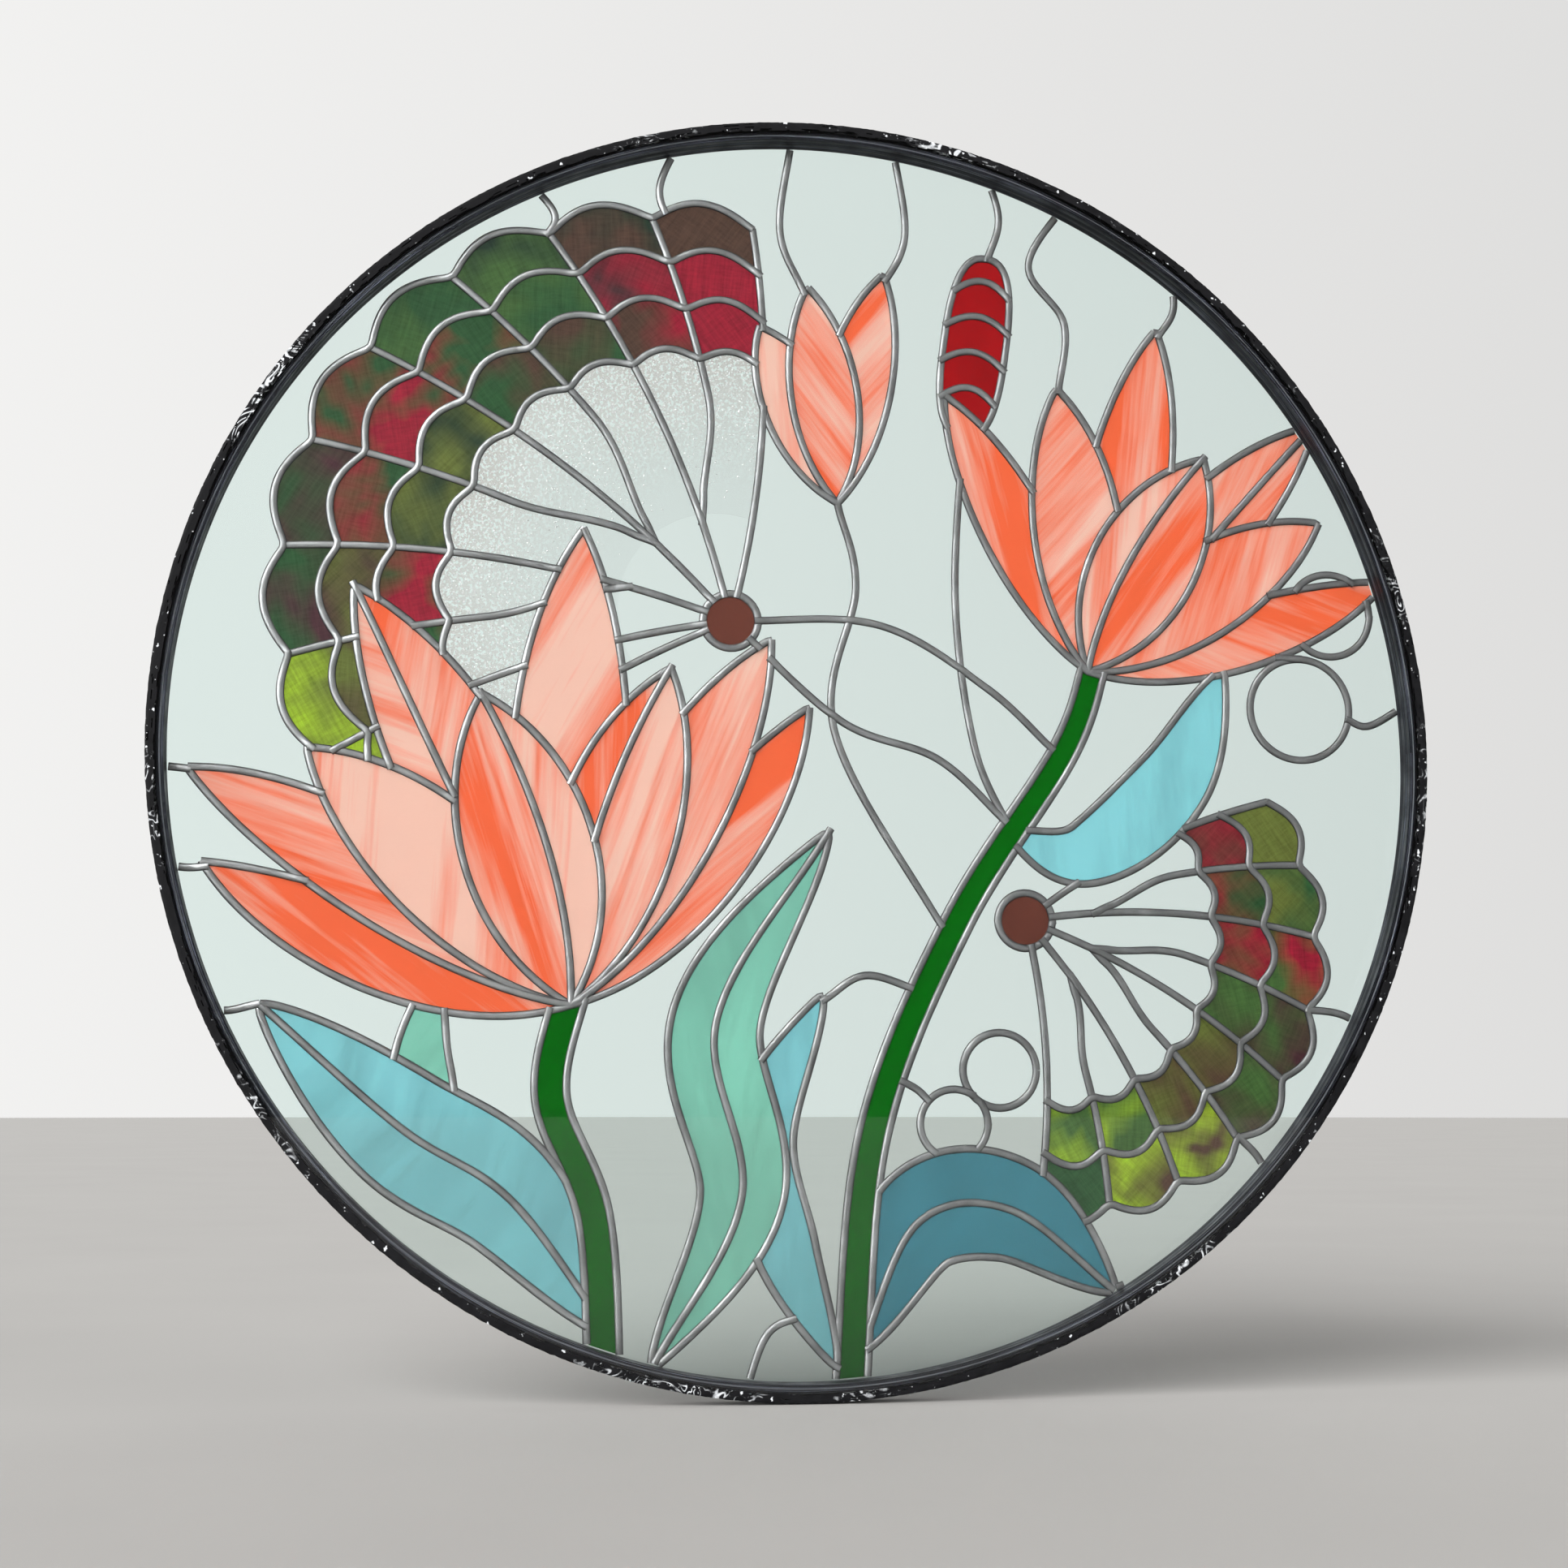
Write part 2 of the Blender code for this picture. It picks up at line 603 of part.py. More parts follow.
def build():
    for obj in list(bpy.data.objects):
        bpy.data.objects.remove(obj, do_unlink=True)
    collection = bpy.data.collections.new("stained_glass_window")
    bpy.context.scene.collection.children.link(collection)
    holder = bpy.data.objects.new("upright", None)
    holder.rotation_euler = (math.pi / 2, 0.0, 0.0)
    collection.objects.link(holder)
    parts = (holder, collection)

    add_pane("rear_pane", 0.0, *parts)
    add_pane("front_pane", FRONT_LEVEL, *parts)

    low, high = PANE_THICKNESS + SEAM_GAP, FRONT_LEVEL - SEAM_GAP
    spacer = [(SPACER_OUTER, high - SPACER_CHAMFER), (SPACER_OUTER, low + SPACER_CHAMFER),
              (SPACER_OUTER - SPACER_CHAMFER, low), (SPACER_INNER, low),
              (SPACER_INNER, high), (SPACER_OUTER - SPACER_CHAMFER, high)]
    add_turned("spacer_bar", "spacer", spacer, 0.0, *parts)
    bed = SPACER_OUTER + SEAM_GAP
    face = UNIT_RADIUS - SEALANT_SET_BACK
    sealant = [(face, high), (face, low), (bed, low), (bed, high)]
    add_turned("edge_sealant", "sealant", sealant, 0.0, *parts)

    draw_picture()
    add_flat("lead_lines", "lead", lead_outline(), LEAD_HEIGHT, LEAD_LEVEL, *parts)
    for name, look, loops in film_outlines():
        add_flat("film_" + name, look, loops, FILM_THICKNESS, FILM_LEVEL, *parts)


build()
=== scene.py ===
"""Round leaded window: a sealed unit of two clear panes with a water-lily picture inside.

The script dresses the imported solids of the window: two panes, the spacer and the sealant at the
edge, the coloured film, the lead strips, and the seeds in the clear film of the left pad. Shapes
are drawn with +Z towards the viewer and turned upright at the end: the front faces -Y, +Z is up,
and the origin is the centre of the rear face. Lengths are in metres.
"""
import math
import random

import bmesh
import bpy
import numpy as np
from mathutils import Matrix, Vector, noise
from mathutils.geometry import delaunay_2d_cdt


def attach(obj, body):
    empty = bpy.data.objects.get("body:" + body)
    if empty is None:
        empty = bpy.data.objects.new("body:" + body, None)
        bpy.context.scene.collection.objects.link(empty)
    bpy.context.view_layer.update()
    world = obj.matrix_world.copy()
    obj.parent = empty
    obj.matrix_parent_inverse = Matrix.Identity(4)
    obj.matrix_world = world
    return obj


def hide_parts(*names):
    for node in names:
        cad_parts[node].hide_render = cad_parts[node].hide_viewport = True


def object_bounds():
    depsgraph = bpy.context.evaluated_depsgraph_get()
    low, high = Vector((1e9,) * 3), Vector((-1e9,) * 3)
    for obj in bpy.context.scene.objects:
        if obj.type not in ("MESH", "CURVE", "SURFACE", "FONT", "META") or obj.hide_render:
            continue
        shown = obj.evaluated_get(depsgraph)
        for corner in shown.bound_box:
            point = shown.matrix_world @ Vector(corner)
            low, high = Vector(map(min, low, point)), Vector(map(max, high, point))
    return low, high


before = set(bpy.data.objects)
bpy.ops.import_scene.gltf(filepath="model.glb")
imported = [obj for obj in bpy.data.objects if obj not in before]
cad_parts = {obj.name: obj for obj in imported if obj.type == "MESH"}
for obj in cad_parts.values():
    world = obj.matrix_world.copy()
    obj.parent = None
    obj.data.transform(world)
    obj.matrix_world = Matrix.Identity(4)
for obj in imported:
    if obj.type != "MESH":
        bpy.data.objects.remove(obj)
CAD_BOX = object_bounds()

bl_info = {
    "name": "Round Leaded Window",
    "version": (1, 0, 0),
    "blender": (4, 5, 0),
    "location": "View3D > Sidebar > Leaded Window",
    "description": "Makes the panes, edge, film, lead strips and seeds of a round leaded window",
    "category": "Object",
}

UPRIGHT = Matrix.Rotation(math.pi / 2, 4, "X")
BODY = "root"
RIM_SIDES = 360
PANE_RADIUS = 0.4738
SPACER_INNER, SPACER_OUTER = 0.4617, 0.4680
SEAM = 0.0029  # from the spacer's inner face to its seam
SPACER_SIDES = 64  # of the CAD's ring
PICTURE_RADIUS = SPACER_INNER * math.cos(math.pi / SPACER_SIDES) - 0.0003

# Heights above the rear face, from the rear
REAR_FACE, REAR_INNER = 0.0004, 0.0040
CLEAR_FILM = (0.00405, 0.00425)
EDGE = (0.0042, 0.0238)
FILM = (0.0043, 0.0046)
SEEDS = 0.0044
LEAD = 0.0047
FRONT_INNER, FRONT_FACE = 0.0240, 0.0275

# Radii of what covers the edge
SEALANT_INNER, SEALANT_MIDDLE = 0.4683, 0.4715
COAT_FRONT = (0.4676, 0.4735, 0.00085)  # first, last and step of the coat's rows on the front
COAT_REAR = (0.4728, 0.4690, -0.0011)
FLAKES_START, FLAKES_WIDTH = 0.4690, 0.0036


# The picture, in shares of its radius, front motif first -----------------------------------

STEP = 0.008  # between the points of a line
SHORTEST = 0.012  # a shorter stretch of lead beside a motif is left out
HUB_RADIUS = 0.045
motifs = []


def at(angle, reach=1.0, start=(0.0, 0.0)):
    turn = math.radians(angle)
    return start[0] + reach * math.cos(turn), start[1] + reach * math.sin(turn)


def axes(angle):
    """Unit vectors along an angle and to its left."""
    along = np.array(at(angle))
    return along, np.array([-along[1], along[0]])


def lengths(line):
    """How far each point lies along the line."""
    return np.concatenate([[0], np.cumsum(np.linalg.norm(np.diff(line, axis=0), axis=1))])


def even(points, step=STEP):
    """The same line with its points at even distances."""
    line = np.asarray(points, float)
    run = lengths(line)
    marks = np.linspace(0, run[-1], max(2, math.ceil(run[-1] / step) + 1))
    return np.column_stack([np.interp(marks, run, line[:, k]) for k in range(line.shape[1])])


def smooth(points):
    """A curve that passes through the points."""
    p = np.asarray(points, float)
    p = np.vstack([2 * p[0] - p[1], p, 2 * p[-1] - p[-2]])
    curve = []
    for a, b, c, d in zip(p, p[1:], p[2:], p[3:]):
        for t in np.linspace(0, 1, 24, endpoint=False):
            curve.append(0.5 * (2 * b + (c - a) * t + (2 * a - 5 * b + 4 * c - d) * t ** 2
                                + (3 * b - a - 3 * c + d) * t ** 3))
    return even(curve + [p[-2]])


def bezier(a, b, c, d):
    t = np.linspace(0, 1, 40)[:, None]
    return (1 - t) ** 3 * a + 3 * (1 - t) ** 2 * t * b + 3 * (1 - t) * t ** 2 * c + t ** 3 * d


def ring(centre, radius):
    sides = max(40, int(2 * math.pi * radius / STEP))
    return np.array([at(360 * k / sides, radius, centre) for k in range(sides + 1)])


def closed(outline):
    return outline if np.allclose(outline[0], outline[-1]) else np.vstack([outline, outline[:1]])


def between(left, right):
    """The outline between two edges that meet at their tips."""
    return closed(even(np.vstack([left, right[::-1][1:]])))


def ribbon(spine, half):
    """The two sides of a band round a spine, with its half width at each point."""
    along = np.gradient(spine, axis=0)
    along /= np.linalg.norm(along, axis=1)[:, None]
    side = np.column_stack([-along[:, 1], along[:, 0]]) * half[:, None]
    return spine + side, spine - side


def place(name, look, cover, leads, coloured=None, grain=90.0, rule=None):
    """Add a motif behind those before it; its film fills the coloured outline or its cover."""
    motifs.append({"name": name, "look": look, "cover": cover, "leads": leads, "grain": grain,
                   "coloured": cover if coloured is None else coloured, "rule": rule})


def lily(name, base, angle, length, petals):
    """Petals that spring from one base: turn, length, width, bend and fold line of each."""
    base = np.asarray(base, float)
    for turn, share, breadth, bend, fold in petals:
        along, side = axes(angle + turn)
        reach, width = length * share, length * breadth
        tip = base + reach * (along + side * bend)

        def edge(low, low_side, high, high_side):
            return bezier(base, base + along * low * reach + side * low_side,
                          base + along * high * reach + side * high_side, tip)

        outline = between(*(edge(0.30, s * width * 0.80 - bend * 0.10 * reach,
                                 0.78, s * width * 0.62 + bend * 0.35 * reach) for s in (1, -1)))
        leads = [outline]
        if fold:
            leads.append(even(edge(0.35, fold * width * 0.75,
                                   0.75, fold * width * 0.35 + bend * 0.3 * reach)))
        place(name, "coral", outline, leads, grain=angle + turn)


def stem(name, start, stop, *spine):
    spine = smooth(spine)
    left, right = ribbon(spine, np.linspace(start, stop, len(spine)) / 2)
    place(name, "stem", closed(np.vstack([left, right[::-1]])), [left, right])


def blade(name, look, width, vein, *spine):
    """A leaf with a point at each end."""
    spine = smooth(spine)
    swell = np.clip(np.sin(np.linspace(0, math.pi, len(spine))), 0, 1) ** 0.75
    outline = between(*ribbon(spine, width / 2 * swell))
    place(name, look, outline, [outline] + ([spine] if vein else []))


def bulrush(name, foot, angle, length, width, bands):
    along, side = axes(angle)
    middle = np.asarray(foot, float) + along * length / 2
    t = np.linspace(0, 2 * math.pi, 61)
    x, y = (np.sign(wave) * np.abs(wave) ** 0.75 * size / 2
            for wave, size in ((np.cos(t), length), (np.sin(t), width)))
    outline = closed(even(middle + x[:, None] * along + y[:, None] * side))
    leads = [outline]
    for k in range(1, bands):
        f = 2 * k / bands - 1
        half = width / 2 * (1 - abs(f) ** 2.7) ** 0.55
        centre = middle + along * f * length / 2
        leads.append(np.array([centre + side * half * s + along * 0.22 * width * (1 - s * s)
                               for s in np.linspace(-1, 1, 12)]))
    place(name, "scarlet", outline, leads, grain=angle)


class Pad:
    """A lily pad: ribs from a round hub, and a margin of lobed rows."""

    def __init__(self, name, hub, start, stop, lobes, reach, rows, bulge, curl, stretch):
        self.hub, self.start, self.stop, self.lobes = hub, start, stop, lobes
        self.reach, self.rows, self.bulge, self.curl = reach, rows, bulge, curl
        self.stretch, self.step = stretch, (stop - start) / lobes
        disc = ring(hub, HUB_RADIUS)
        place(name + "_hub", "maroon", disc, [disc])
        ribs = [self.rib(k) for k in range(lobes + 1)]
        arcs = [even([self.spot(a, s) for a in np.linspace(start, stop, 20 * lobes + 1)])
                for s in rows]
        ends = [[self.spot(a, s) for s in np.linspace(rows[0], 1, 12)] for a in (start, stop)]
        margin = closed(np.vstack([ends[0], arcs[-1][1:], ends[1][::-1][1:], arcs[0][::-1][1:]]))
        whole = closed(np.vstack([ribs[0], arcs[-1][1:], ribs[-1][::-1][1:]]))
        place(name, "pad", whole, ribs + arcs, margin, rule=self)

    def spot(self, angle, share):
        """The point at an angle and a share of the reach."""
        part = (angle - self.start) / self.step
        lobe = abs(math.sin(math.pi * (part % 1.0))) if share > 0.3 else 0.0
        sway = 1 + self.stretch * math.sin(math.pi * (angle - self.start)
                                           / (self.stop - self.start))
        return at(angle + self.curl * (1 - share),
                  self.reach * sway * share * (1 + self.bulge * lobe), self.hub)

    def rib(self, k):
        """Every second rib reaches the hub, and the others branch off a neighbour."""
        angle, low = self.start + k * self.step, 0.24
        if k % 2 == 0 or k == self.lobes:
            return even([self.spot(angle, s) for s in np.linspace(0, 1, 40)])
        turn = self.step if k < self.lobes / 2 else -self.step
        return even([self.spot(angle + turn * max(0.0, 1 - (s - low) / 0.32) ** 2, s)
                     for s in np.linspace(low, 1, 36)])

    def cell(self, point):
        """The lobe and the row in which a point lies."""
        dx, dy = point[0] - self.hub[0], point[1] - self.hub[1]
        share = min(1.0, math.hypot(dx, dy) / self.reach)
        turn = math.degrees(math.atan2(dy, dx)) - self.curl * (1 - share)
        turn = (turn - self.start + 90) % 360 - 90
        return int(turn // self.step), sum(share > row for row in self.rows[1:])


def inside(points, outline):
    """Which of the points lie inside the closed outline."""
    x, y = points[:, 0][:, None], points[:, 1][:, None]
    x0, y0, x1, y1 = outline[:-1, 0], outline[:-1, 1], outline[1:, 0], outline[1:, 1]
    spans = (y0 > y) != (y1 > y)
    rise = np.where(y1 == y0, 1.0, y1 - y0)
    return (spans & (x < x0 + (y - y0) * (x1 - x0) / rise)).sum(1) % 2 == 1


def in_view(line, hidden, crossing, shortest):
    """The stretches of a line that aren't hidden, up to its crossings between two points."""
    stretches, run = [], []
    for k, point in enumerate(line):
        if k and hidden[k] != hidden[k - 1]:
            run.append(crossing(k))
            if hidden[k]:
                stretches.append(run)
                run = []
        if not hidden[k]:
            run.append(point)
    stretches = [np.array(s) for s in stretches + [run] if len(s) > 1]
    return [s for s in stretches if lengths(s)[-1] > shortest]


def beside_cover(line, cover):
    """The stretches of a line that a cover in front leaves in view."""
    hidden = inside(line, cover)

    def crossing(k):
        a, b = line[k - 1], line[k]
        for _ in range(12):
            middle = (a + b) / 2
            if inside(middle[None], cover)[0] == hidden[k - 1]:
                a = middle
            else:
                b = middle
        return (a + b) / 2
    return in_view(line, hidden, crossing, SHORTEST)


def inside_rim(line, radius):
    """The stretches of a line inside the radius."""
    reach = np.hypot(*line.T)

    def crossing(k):
        t = (radius - reach[k - 1]) / (reach[k] - reach[k - 1])
        return line[k - 1] + t * (line[k] - line[k - 1])
    return in_view(line, reach > radius, crossing, 0.003)


# Turn, length, width, bend and fold of each petal
OPEN_LILY = (
    (4, 0.66, 0.25, 0.03, -0.35), (30, 0.74, 0.22, 0.09, 0), (-24, 0.72, 0.23, -0.05, 0.4),
    (14, 0.96, 0.23, 0.05, 0.3), (-9, 0.98, 0.22, -0.05, 0), (-38, 0.86, 0.19, -0.02, 0),
    (43, 0.90, 0.18, 0.08, 0), (-56, 0.78, 0.16, 0.12, 0), (66, 0.78, 0.16, -0.14, 0))
HALF_OPEN_LILY = (
    (-4, 0.70, 0.27, -0.02, 0.35), (26, 0.80, 0.23, 0.06, 0), (-30, 0.80, 0.23, -0.05, 0),
    (10, 1.0, 0.22, 0.03, 0), (-16, 0.98, 0.22, -0.05, -0.2), (50, 0.86, 0.18, 0.02, 0),
    (-54, 0.90, 0.17, 0.10, 0))
BUD = ((0, 0.92, 0.26, 0.03, 0), (13, 0.80, 0.28, 0.08, 0), (-15, 1.0, 0.26, -0.04, 0))
LEAVES = (
    ("leaf_far_left", "aqua", 0.19, True,
     (-0.30, -0.93), (-0.46, -0.72), (-0.63, -0.61), (-0.85, -0.42)),
    ("leaf_behind_left", "aqua_green", 0.11, False,
     (-0.33, -0.80), (-0.56, -0.66), (-0.60, -0.52), (-0.58, -0.36)),
    ("leaf_middle", "aqua_green", 0.15, True,
     (-0.24, -0.98), (-0.10, -0.72), (-0.14, -0.44), (0.04, -0.14)),
    ("leaf_behind_middle", "aqua", 0.11, False,
     (0.05, -0.98), (-0.03, -0.80), (-0.07, -0.62), (0.03, -0.40)),
    ("leaf_low_right", "teal", 0.17, True,
     (0.085, -0.96), (0.18, -0.76), (0.33, -0.74), (0.50, -0.87)),
    ("leaf_right", "aqua", 0.13, False,
     (0.33, -0.14), (0.46, -0.17), (0.61, -0.05), (0.70, 0.14)))
BUBBLES = ((0.83, 0.075, 0.085), (0.885, 0.235, 0.07), (0.315, -0.52, 0.06), (0.24, -0.605, 0.055))
LINES = (
    ((-0.969, -0.056), (-0.985, -0.054), (-1.03, -0.05)),
    ((-0.93, -0.208), (-0.97, -0.21), (-1.02, -0.20)),
    ((-0.85, -0.42), (-0.91, -0.43), (-0.97, -0.40)), ((0.70, -0.62), (0.74, -0.66), (0.76, -0.71)),
    ((0.82, -0.42), (0.89, -0.43), (0.95, -0.47)), ((0.0, 0.755), (-0.04, 0.86), (-0.02, 1.02)),
    ((0.125, 0.76), (0.17, 0.86), (0.15, 1.02)),
    ((0.055, 0.40), (0.085, 0.26), (0.05, 0.02), (0.24, -0.32)),
    ((0.265, 0.53), (0.25, 0.24), (0.28, 0.0), (0.34, -0.14)),
    ((0.308, 0.82), (0.33, 0.90), (0.30, 1.0)),
    ((0.427, 0.595), (0.44, 0.72), (0.38, 0.82), (0.46, 0.95)),
    ((0.598, 0.70), (0.63, 0.76), (0.61, 0.86)),
    ((-0.12, 0.20), (0.12, 0.20), (0.30, 0.10), (0.42, -0.01)),
    ((-0.12, 0.20), (0.06, 0.04), (0.22, -0.02), (0.34, -0.13)),
    ((0.49, -0.865), (0.55, -0.85), (0.60, -0.86)), ((0.03, -0.41), (0.10, -0.37), (0.20, -0.40)),
    ((0.70, 0.13), (0.76, 0.16), (0.83, 0.16)), ((0.91, 0.06), (0.95, 0.05), (1.02, 0.09)),
    ((0.0, -0.90), (-0.06, -0.93), (-0.10, -1.04)), ((-0.47, 0.79), (-0.41, 0.86), (-0.46, 0.93)),
    ((-0.21, 0.84), (-0.24, 0.92), (-0.20, 1.02)), ((0.14, -0.53), (0.18, -0.55), (0.20, -0.57)))


def draw_picture():
    lily("left_lily", (-0.37, -0.42), 101, 0.78, OPEN_LILY)
    lily("right_lily", (0.47, 0.13), 66, 0.60, HALF_OPEN_LILY)
    stem("left_stem", 0.05, 0.05, (-0.365, -0.375), (-0.40, -0.56), (-0.33, -0.75), (-0.31, -1.04))
    stem("right_stem", 0.04, 0.05, (0.49, 0.17), (0.43, 0.0), (0.25, -0.28), (0.11, -0.62),
         (0.07, -1.04))
    lily("bud", (0.055, 0.40), 96, 0.40, BUD)
    bulrush("bulrush", (0.265, 0.52), 82, 0.31, 0.105, 5)
    for leaf in LEAVES:
        blade(*leaf)
    Pad("left_pad", (-0.12, 0.20), 87, 214, 9, 0.66, (0.64, 0.765, 0.885, 1.0), 0.045, -12, 0.10)
    Pad("right_pad", (0.36, -0.28), -88, 26, 8, 0.455, (0.64, 0.82, 1.0), 0.055, 12, 0.08)
    for x, y, radius in BUBBLES:
        disc = ring((x, y), radius)
        place(None, None, disc, [disc])
    for line in LINES:
        place(None, None, None, [smooth(line)])


def covers_before(number):
    return [m["cover"] for m in motifs[:number] if m["cover"] is not None]


def lead_lines_in_view():
    """The visible stretches of every lead line, in metres, those of the front motif first."""
    lines = []
    for k, motif in enumerate(motifs):
        for lead in motif["leads"]:
            stretches = [even(lead)]
            for cover in covers_before(k):
                stretches = [part for s in stretches for part in beside_cover(s, cover)]
            lines += [s * PICTURE_RADIUS for s in stretches]
    return lines


# Flat outlines ------------------------------------------------------------------------------

LINE_TOLERANCE, CELL_TOLERANCE = 0.0004, 0.00015
SMALLEST_HOLE, SMALLEST_CELL = 2e-6, 1.2e-5


def thin(line, tolerance):
    """Drop the points that the rest of the line passes within the tolerance of."""
    if len(line) < 3:
        return line
    a, b = line[0], line[-1]
    chord = b - a
    size = np.hypot(*chord)
    if size < 1e-9:
        off = np.hypot(*(line - a).T)
    else:
        off = np.abs(chord[0] * (line[:, 1] - a[1]) - chord[1] * (line[:, 0] - a[0])) / size
    far = int(np.argmax(off[1:-1])) + 1
    if off[far] <= tolerance:
        return np.array([a, b])
    return np.vstack([thin(line[:far + 1], tolerance)[:-1], thin(line[far:], tolerance)])


def headings(line):
    """Unit vectors from each point of the line to the next."""
    ahead = np.diff(line, axis=0)
    return ahead / np.linalg.norm(ahead, axis=1)[:, None]


def signed_area(loop):
    x, y = loop[:, 0], loop[:, 1]
    return 0.5 * float(np.sum(x * np.roll(y, -1) - np.roll(x, -1) * y))


def strip_pieces(line, half):
    """Convex pieces that cover a strip round the line, with blunt ends and corners."""
    ahead = headings(line)
    side = np.column_stack([-ahead[:, 1], ahead[:, 0]]) * half
    turns = np.arange(6) * math.pi / 3 + 0.2
    knob = half * np.column_stack([np.cos(turns), np.sin(turns)])
    return ([np.array([a - s, b - s, b + s, a + s]) for a, b, s in zip(line, line[1:], side)]
            + [point + knob for point in line])


def triangles_of(polygons):
    """Triangles of the plane that no edge of the polygons crosses."""
    points, edges = [], []
    for polygon in polygons:
        first, count = len(points), len(polygon)
        points += [Vector(p) for p in polygon]
        edges += [(first + k, first + (k + 1) % count) for k in range(count)]
    found = delaunay_2d_cdt(points, edges, [], 0, 1e-7)
    return np.array([tuple(p) for p in found[0]]), np.array([tuple(f) for f in found[2]], int)


def edges_of(face):
    return zip(face, (*face[1:], face[0]))


def border_loops(points, faces):
    """The closed borders of a set of triangles, the material on their left."""
    edges = dict.fromkeys(edge for face in faces for edge in edges_of(face))
    onward = {}
    for a, b in edges:
        if (b, a) not in edges:
            onward.setdefault(a, []).append(b)
    loops = []
    while onward:
        start = next(iter(onward))
        loop, here = [start], start
        while True:
            choices, pick = onward[here], -1
            if len(choices) > 1 and len(loop) > 1:
                back = points[loop[-2]] - points[here]
                turn = [math.atan2(back[0] * v[1] - back[1] * v[0], back @ v) % (2 * math.pi)
                        for v in (points[k] - points[here] for k in choices)]
                pick = int(np.argmax(turn))
            following = choices.pop(pick)
            if not choices:
                del onward[here]
            here = following
            if here == start:
                break
            loop.append(here)
        loops.append(points[loop])
    return loops


def tidy_loop(loop):
    """Thin a closed loop, starting from its sharpest corner."""
    ahead = np.roll(loop, -1, axis=0) - loop
    behind = loop - np.roll(loop, 1, axis=0)
    sharp = (ahead * behind).sum(1) / (np.linalg.norm(ahead, axis=1)
                                       * np.linalg.norm(behind, axis=1) + 1e-12)
    loop = np.roll(loop, -int(np.argmin(sharp)), axis=0)
    far = int(np.argmax(np.linalg.norm(loop - loop[0], axis=1)))
    return np.vstack([thin(half, CELL_TOLERANCE)[:-1]
                      for half in (loop[:far + 1], np.vstack([loop[far:], loop[:1]]))])


def pieces_apart(faces):
    """Sort triangles into sets that share edges."""
    owner = {}
    for k, face in enumerate(faces):
        for edge in edges_of(face):
            owner.setdefault(tuple(sorted(edge)), []).append(k)
    links = [[] for _ in faces]
    for pair in owner.values():
        if len(pair) == 2:
            links[pair[0]].append(pair[1])
            links[pair[1]].append(pair[0])
    seen, groups = set(), []
    for k in range(len(faces)):
        if k in seen:
            continue
        group, queue = [], [k]
        seen.add(k)
        while queue:
            here = queue.pop()
            group.append(here)
            fresh = [other for other in links[here] if other not in seen]
            seen.update(fresh)
            queue += fresh
        groups.append(faces[group])
    return groups


def under_pieces(centres, pieces):
    """Which of the points lie under any of the convex pieces."""
    covered = np.zeros(len(centres), bool)
    order = np.argsort(centres[:, 0])
    sorted_x = centres[order, 0]
    for piece in pieces:
        low, high = piece.min(0), piece.max(0)
        span = order[np.searchsorted(sorted_x, low[0]):np.searchsorted(sorted_x, high[0], "right")]
        near = span[(centres[span, 1] >= low[1]) & (centres[span, 1] <= high[1]) & ~covered[span]]
        if len(near):
            covered[near] = inside(centres[near], closed(piece))
    return covered


def fill(loops):
    """The points and triangles between the loops."""
    points, faces = triangles_of(loops)
    centres = points[faces].mean(1)
    kept = np.zeros(len(centres), bool)
    for loop in loops:
        kept ^= inside(centres, closed(loop))
    used, faces = np.unique(faces[kept], return_inverse=True)
    return points[used], faces.reshape(-1, 3)


def film_cells(gap):
    """The pieces of coloured film between the lead lines, with the motif that each is part of."""
    sides = np.arange(RIM_SIDES) * 2 * math.pi / RIM_SIDES
    disc = PICTURE_RADIUS * np.column_stack([np.cos(sides), np.sin(sides)])
    shown = [m for m in motifs if m["cover"] is not None]
    covers, coloured = ([thin(m[key], LINE_TOLERANCE / PICTURE_RADIUS)[:-1] * PICTURE_RADIUS
                         for m in shown] for key in ("cover", "coloured"))
    strips = [piece for line in lead_lines_in_view()
              for piece in strip_pieces(thin(line, LINE_TOLERANCE), gap)]
    points, faces = triangles_of(covers + coloured + [disc] + strips)
    centres = points[faces].mean(1)
    label = np.full(len(faces), -1)
    for k in reversed(range(len(shown))):
        label[inside(centres, closed(covers[k]))] = -1
        if shown[k]["name"]:
            label[inside(centres, closed(coloured[k]))] = k
    label[~inside(centres, closed(disc)) | under_pieces(centres, strips)] = -1
    cells = []
    for k, motif in enumerate(shown):
        for group in pieces_apart(faces[label == k]):
            borders = [tidy_loop(loop) for loop in border_loops(points, group)
                       if abs(signed_area(loop)) > SMALLEST_HOLE]
            if sum(signed_area(b) for b in borders) > SMALLEST_CELL:
                cells.append((motif, borders))
    return cells


# Meshes -------------------------------------------------------------------------------------

def put_in_scene(name, data):
    made = bpy.data.objects.new(name, data)
    bpy.context.scene.collection.objects.link(made)
    return made


def finish_piece(mesh, name, material, slot, *nodes):
    """Turn a mesh upright and hand it over as a piece that stands for the CAD nodes."""
    mesh.transform(UPRIGHT)
    mesh.name = name
    mesh.materials.clear()
    mesh.materials.append(material)
    piece = put_in_scene(name, mesh)
    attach(piece, BODY)
    if nodes:
        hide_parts(*nodes)


def mesh_of(verts, faces):
    mesh = bpy.data.meshes.new("piece")
    mesh.from_pydata(verts, [], faces)
    return mesh


def put_floats(mesh, name, values):
    mesh.attributes.new(name, "FLOAT", "POINT").data.foreach_set("value", values)


def put_colours(mesh, name, values):
    rows = np.column_stack([values, np.ones(len(values))])
    mesh.attributes.new(name, "FLOAT_COLOR", "POINT").data.foreach_set("color", rows.ravel())


